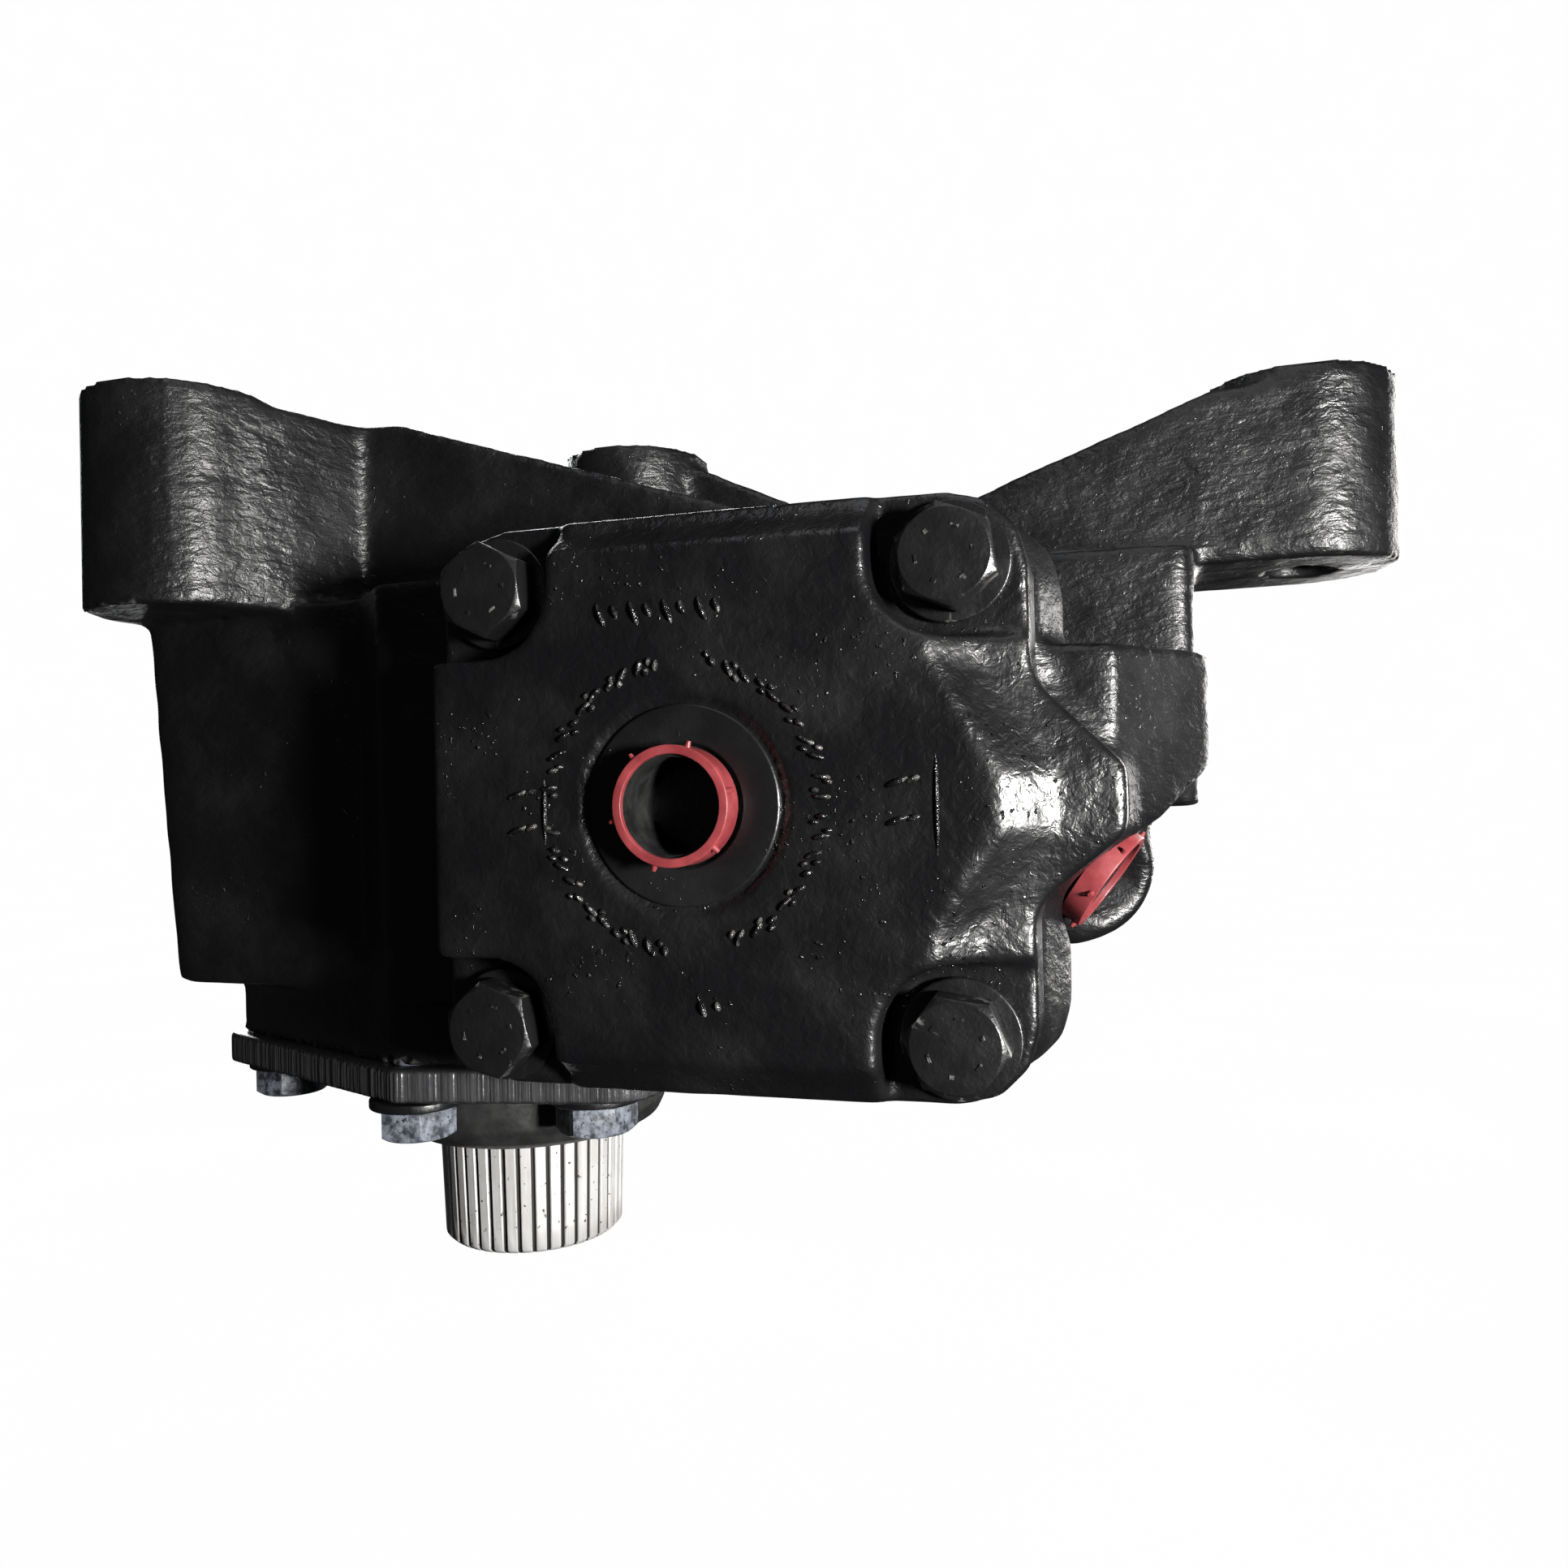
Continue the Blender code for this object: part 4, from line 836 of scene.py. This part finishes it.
def serration_ring(shape, radius, depth, height, layer):
    """One ring of corners: each tooth has a wide flat land and a narrow groove."""
    ring = []
    for tooth in range(TEETH):
        for share, sink in TOOTH_SHAPE:
            angle = 2 * math.pi * (tooth + share) / TEETH
            reach = radius - depth * sink
            vert = shape.verts.new((reach * math.cos(angle), reach * math.sin(angle), height))
            # The groove layer places the painted shade in the grooves of the shaft steel.
            vert[layer] = sink if depth > 0.0003 else 0.0
            ring.append(vert)
    return ring


def serrated_end(top_z, end_z, top_r, end_r):
    """The tapered serrated end with a chamfer, a face and a centre hole, about local Z."""
    shape = bmesh.new()
    layer = shape.verts.layers.float.new("groove")
    stations = [
        (top_z, top_r - SERRATION_DEPTH, 0.0),
        (top_z - 0.0200, top_r - SERRATION_DEPTH, 0.0),
        (top_z - 0.0202, top_r, SERRATION_DEPTH),
    ]
    runs = 6
    for step in range(1, runs + 1):
        share = step / runs
        height = top_z - 0.0202 + (end_z + 0.0016 - top_z + 0.0202) * share
        stations.append((height, top_r + (end_r - top_r) * share, SERRATION_DEPTH))
    stations += [
        (end_z + 0.0004, end_r - 0.0012, 0.0006),
        (end_z, end_r - 0.0017, 0.0002),
        (end_z, 0.0075, 0.0),
        (end_z + 0.0004, 0.0070, 0.0),
        (end_z + 0.0060, 0.0020, 0.0),
        (end_z + 0.0080, 0.0018, 0.0),
    ]
    rings = [serration_ring(shape, radius, depth, height, layer) for height, radius, depth in stations]
    for upper, lower in zip(rings, rings[1:]):
        for index in range(len(upper)):
            following = (index + 1) % len(upper)
            shape.faces.new((upper[index], upper[following], lower[following], lower[index]))
    shape.faces.new(rings[0])
    shape.faces.new(list(reversed(rings[-1])))
    bmesh.ops.recalc_face_normals(shape, faces=shape.faces)
    return shape


def output_shaft():
    """The CAD shaft above the boot, and a finely serrated end below it."""
    cut_z = at(0, 0, SHAFT_CUT_Z).z
    shape = bmesh.new()
    shape.from_mesh(NODES["sector_shaft"].data)
    bmesh.ops.remove_doubles(shape, verts=shape.verts, dist=1e-6)
    everything = list(shape.verts) + list(shape.edges) + list(shape.faces)
    cut = bmesh.ops.bisect_plane(
        shape,
        geom=everything,
        plane_co=(0, 0, cut_z),
        plane_no=(0, 0, 1),
        clear_inner=True,
    )
    rim = [item for item in cut["geom_cut"] if isinstance(item, bmesh.types.BMEdge)]
    bmesh.ops.holes_fill(shape, edges=rim, sides=0)
    upper = bpy.data.meshes.new("shaft_upper")
    shape.to_mesh(upper)
    shape.free()
    end = serrated_end(SHAFT_CUT_Z + 0.0005, SHAFT_END_Z, SHAFT_TOP_R, SHAFT_END_R)
    bmesh.ops.translate(end, vec=at(SHAFT_X, SHAFT_Y, 0), verts=end.verts)
    end.from_mesh(upper)
    mesh = bpy.data.meshes.new("output_shaft")
    end.to_mesh(mesh)
    end.free()
    mesh.shade_smooth()
    mesh.set_sharp_from_angle(angle=math.radians(30))
    add_piece("output_shaft_steel", mesh, SHAFT_STEEL, "output", ["sector_shaft"])


# ---------------------------------------------------------------- cast marks


def pip(shape, x, z, size, turn):
    """Adds one rounded cast pip on the cover's face: size is its length, width and height."""
    made = bmesh.ops.create_uvsphere(shape, u_segments=12, v_segments=8, radius=1.0)["verts"]
    bmesh.ops.scale(shape, vec=(size[0] / 2, size[1] / 2, size[2]), verts=made)
    bmesh.ops.rotate(shape, cent=(0, 0, 0), matrix=Matrix.Rotation(-turn, 3, "Z"), verts=made)
    bmesh.ops.transform(shape, matrix=Matrix.Translation(at(x, 0.0004, z)) @ FACE_FRONT, verts=made)


def ring_marks(shape):
    """Four arcs of raised pips and short bars round the port."""
    count = 0
    for first, last in ((18, 76), (-66, 10), (100, 172), (190, 262)):
        marks = int((last - first) / 7.2)
        for index in range(marks + 1):
            count += 1
            angle = math.radians(first + (last - first) * index / marks)
            radius = 0.0338 + 0.0004 * math.sin(count * 2.3)
            x = PORT_X + radius * math.cos(angle)
            z = radius * math.sin(angle)
            out = Vector((math.cos(angle), math.sin(angle)))
            pip(shape, x, z, (0.0046 if count % 3 else 0.0030, 0.0016, 0.0015), angle)
            side = 0.0016 if count % 2 else -0.0014
            shift = 0.0013 if count % 4 < 2 else -0.0015
            spot = Vector((x, z)) + out * shift + Vector((-out.y, out.x)) * side
            pip(shape, spot.x, spot.y, (0.0022, 0.0015, 0.0014), angle)


def cast_marks():
    """Plain raised pips and bars on the cover where a foundry sets its marks; they say nothing."""
    shape = bmesh.new()
    ring_marks(shape)
    rows = (
        (-0.0100, 0.0455, 4, 0.0092, 0.0),
        (0.0475, 0.0000, 2, 0.0086, math.pi / 2),
        (-0.0455, -0.0010, 2, 0.0080, math.pi / 2),
        (0.0010, -0.0470, 1, 0.0060, 0.0),
    )
    for x, z, marks, long, turn in rows:
        for index in range(marks):
            offset = (index - (marks - 1) / 2) * 0.0085
            here_x = x + offset * math.cos(turn)
            here_z = z + offset * math.sin(turn)
            lean = turn + math.pi / 2 - 0.35
            pip(shape, here_x - 0.0018, here_z, (long * 0.72, 0.0017, 0.0015), lean)
            pip(shape, here_x + 0.0018, here_z + 0.0006, (long * 0.42, 0.0017, 0.0014), lean)
    for x, long in ((0.0545, 0.024), (-0.0400, 0.017)):
        pip(shape, x, -0.001, (long, 0.0012, 0.0011), math.pi / 2)
    mesh = bpy.data.meshes.new("cast_marks")
    shape.to_mesh(mesh)
    shape.free()
    mesh.shade_smooth()
    add_piece("cylinder_head_cast_marks", mesh, MARK_PAINT, "case")


# ---------------------------------------------------------------- CAD pieces that stay


def finish_cad_pieces():
    """Pieces whose CAD shape is right get their own finish."""
    finishes = {
        "machined_steel": INNER_STEEL,
        "bearing_steel": RING_STEEL,
        "black_rubber": RUBBER,
        "gasket_sheet": GASKET,
        "black_fastener": SCREW_PAINT,
        "black_casting": ARM_PAINT,
        "red_plastic": RED,
    }
    slots = {part["node"]: part["material_slot"] for part in frame["record"]["subparts"]}
    for name, node in NODES.items():
        if node.hide_render:
            continue
        material = finishes[slots[name]]
        if not node.material_slots:
            node.data.materials.append(material)
        for slot in node.material_slots:
            slot.material = material
        node.data.set_sharp_from_angle(angle=math.radians(35))


# ---------------------------------------------------------------- floor, light and camera


def stage_material(name):
    """An even glow that reads as a white sweep, with a faint unevenness like paper."""
    made, shader = new_material(name, (0.0, 0.0, 0.0), 1.0)
    paper = noise_field(made, object_space(made), 9.0, 2.0, 0.5)
    tone = mix_colours(made, paper, (0.985, 0.985, 0.985), (1.0, 1.0, 1.0))
    link(made, tone, shader.inputs["Emission Color"])
    shader.inputs["Emission Strength"].default_value = 1.0
    shader.inputs["Specular IOR Level"].default_value = 0.0
    return made


def stage():
    """A pale floor and surround in one even tone, which leave the light on the gear alone."""
    floor_z = CAD_BOUNDS[0].z - 0.0005
    paper = stage_material("pale_paper")
    shape = bmesh.new()
    bmesh.ops.create_circle(shape, cap_ends=True, segments=96, radius=6.0)
    mesh = bpy.data.meshes.new("floor")
    shape.to_mesh(mesh)
    shape.free()
    floor = bpy.data.objects.new("floor", mesh)
    floor.location = (0, 0, floor_z)
    shape = bmesh.new()
    bmesh.ops.create_uvsphere(shape, u_segments=64, v_segments=32, radius=6.0)
    mesh = bpy.data.meshes.new("surround")
    shape.to_mesh(mesh)
    shape.free()
    surround = bpy.data.objects.new("surround", mesh)
    for obj in (floor, surround):
        obj.data.materials.append(paper)
        SCENE.collection.objects.link(obj)
        obj.visible_diffuse = False
        obj.visible_glossy = False
        obj.visible_shadow = False


def area_light(name, place, target, size, power, colour=WHITE):
    data = bpy.data.lights.new(name, "AREA")
    data.shape = "DISK"
    data.size = size
    data.energy = power
    data.color = colour
    lamp = bpy.data.objects.new(name, data)
    lamp.location = place
    aim = Vector(target) - Vector(place)
    lamp.rotation_euler = aim.to_track_quat("-Z", "Y").to_euler()
    SCENE.collection.objects.link(lamp)
    return lamp


def lights():
    """A hard key from the right at the gear's height, a weak fill from above and soft lights behind."""
    middle = at(-0.02, 0.06, 0.0)
    area_light("key", at(0.52, -0.36, -0.01), middle, 0.11, 15.0, (1.0, 0.99, 0.97))
    area_light("top_fill", at(0.10, -0.20, 0.90), middle, 0.7, 1.5, (0.95, 0.97, 1.0))
    area_light("rear_left_fill", at(-0.70, 0.95, 0.35), middle, 0.9, 22.0, (0.97, 0.98, 1.0))
    area_light("rear_right_fill", at(0.55, 1.05, 0.20), middle, 0.7, 12.0, (1.0, 0.98, 0.96))
    world = bpy.data.worlds.new("studio")
    SCENE.world = world
    world.use_nodes = True
    sky = world.node_tree.nodes["Background"]
    sky.inputs["Color"].default_value = (0.90, 0.94, 1.0, 1.0)
    sky.inputs["Strength"].default_value = 0.022


def camera():
    """A close viewpoint at the bore's height, to the right of the bore."""
    data = bpy.data.cameras.new("camera")
    data.sensor_width = 36.0
    data.lens = 27.19
    data.clip_start = 0.02
    data.clip_end = 60.0
    eye = bpy.data.objects.new("camera", data)
    yaw = math.radians(15.89)
    pitch = math.radians(0.54)
    roll = math.radians(1.27)
    level = math.cos(pitch)
    forward = Vector((-math.sin(yaw) * level, math.cos(yaw) * level, math.sin(pitch)))
    turn = forward.to_track_quat("-Z", "Y").to_matrix().to_4x4()
    place = Matrix.Translation(at(0.0934, -0.2581, 0.0019))
    eye.matrix_world = place @ turn @ Matrix.Rotation(-roll, 4, "Z")
    SCENE.collection.objects.link(eye)
    SCENE.camera = eye


camera()
castings()
port_face()
fasteners()
plugs()
dust_boot()
output_shaft()
cast_marks()
finish_cad_pieces()
stage()
lights()
SCENE.view_settings.view_transform = "Standard"
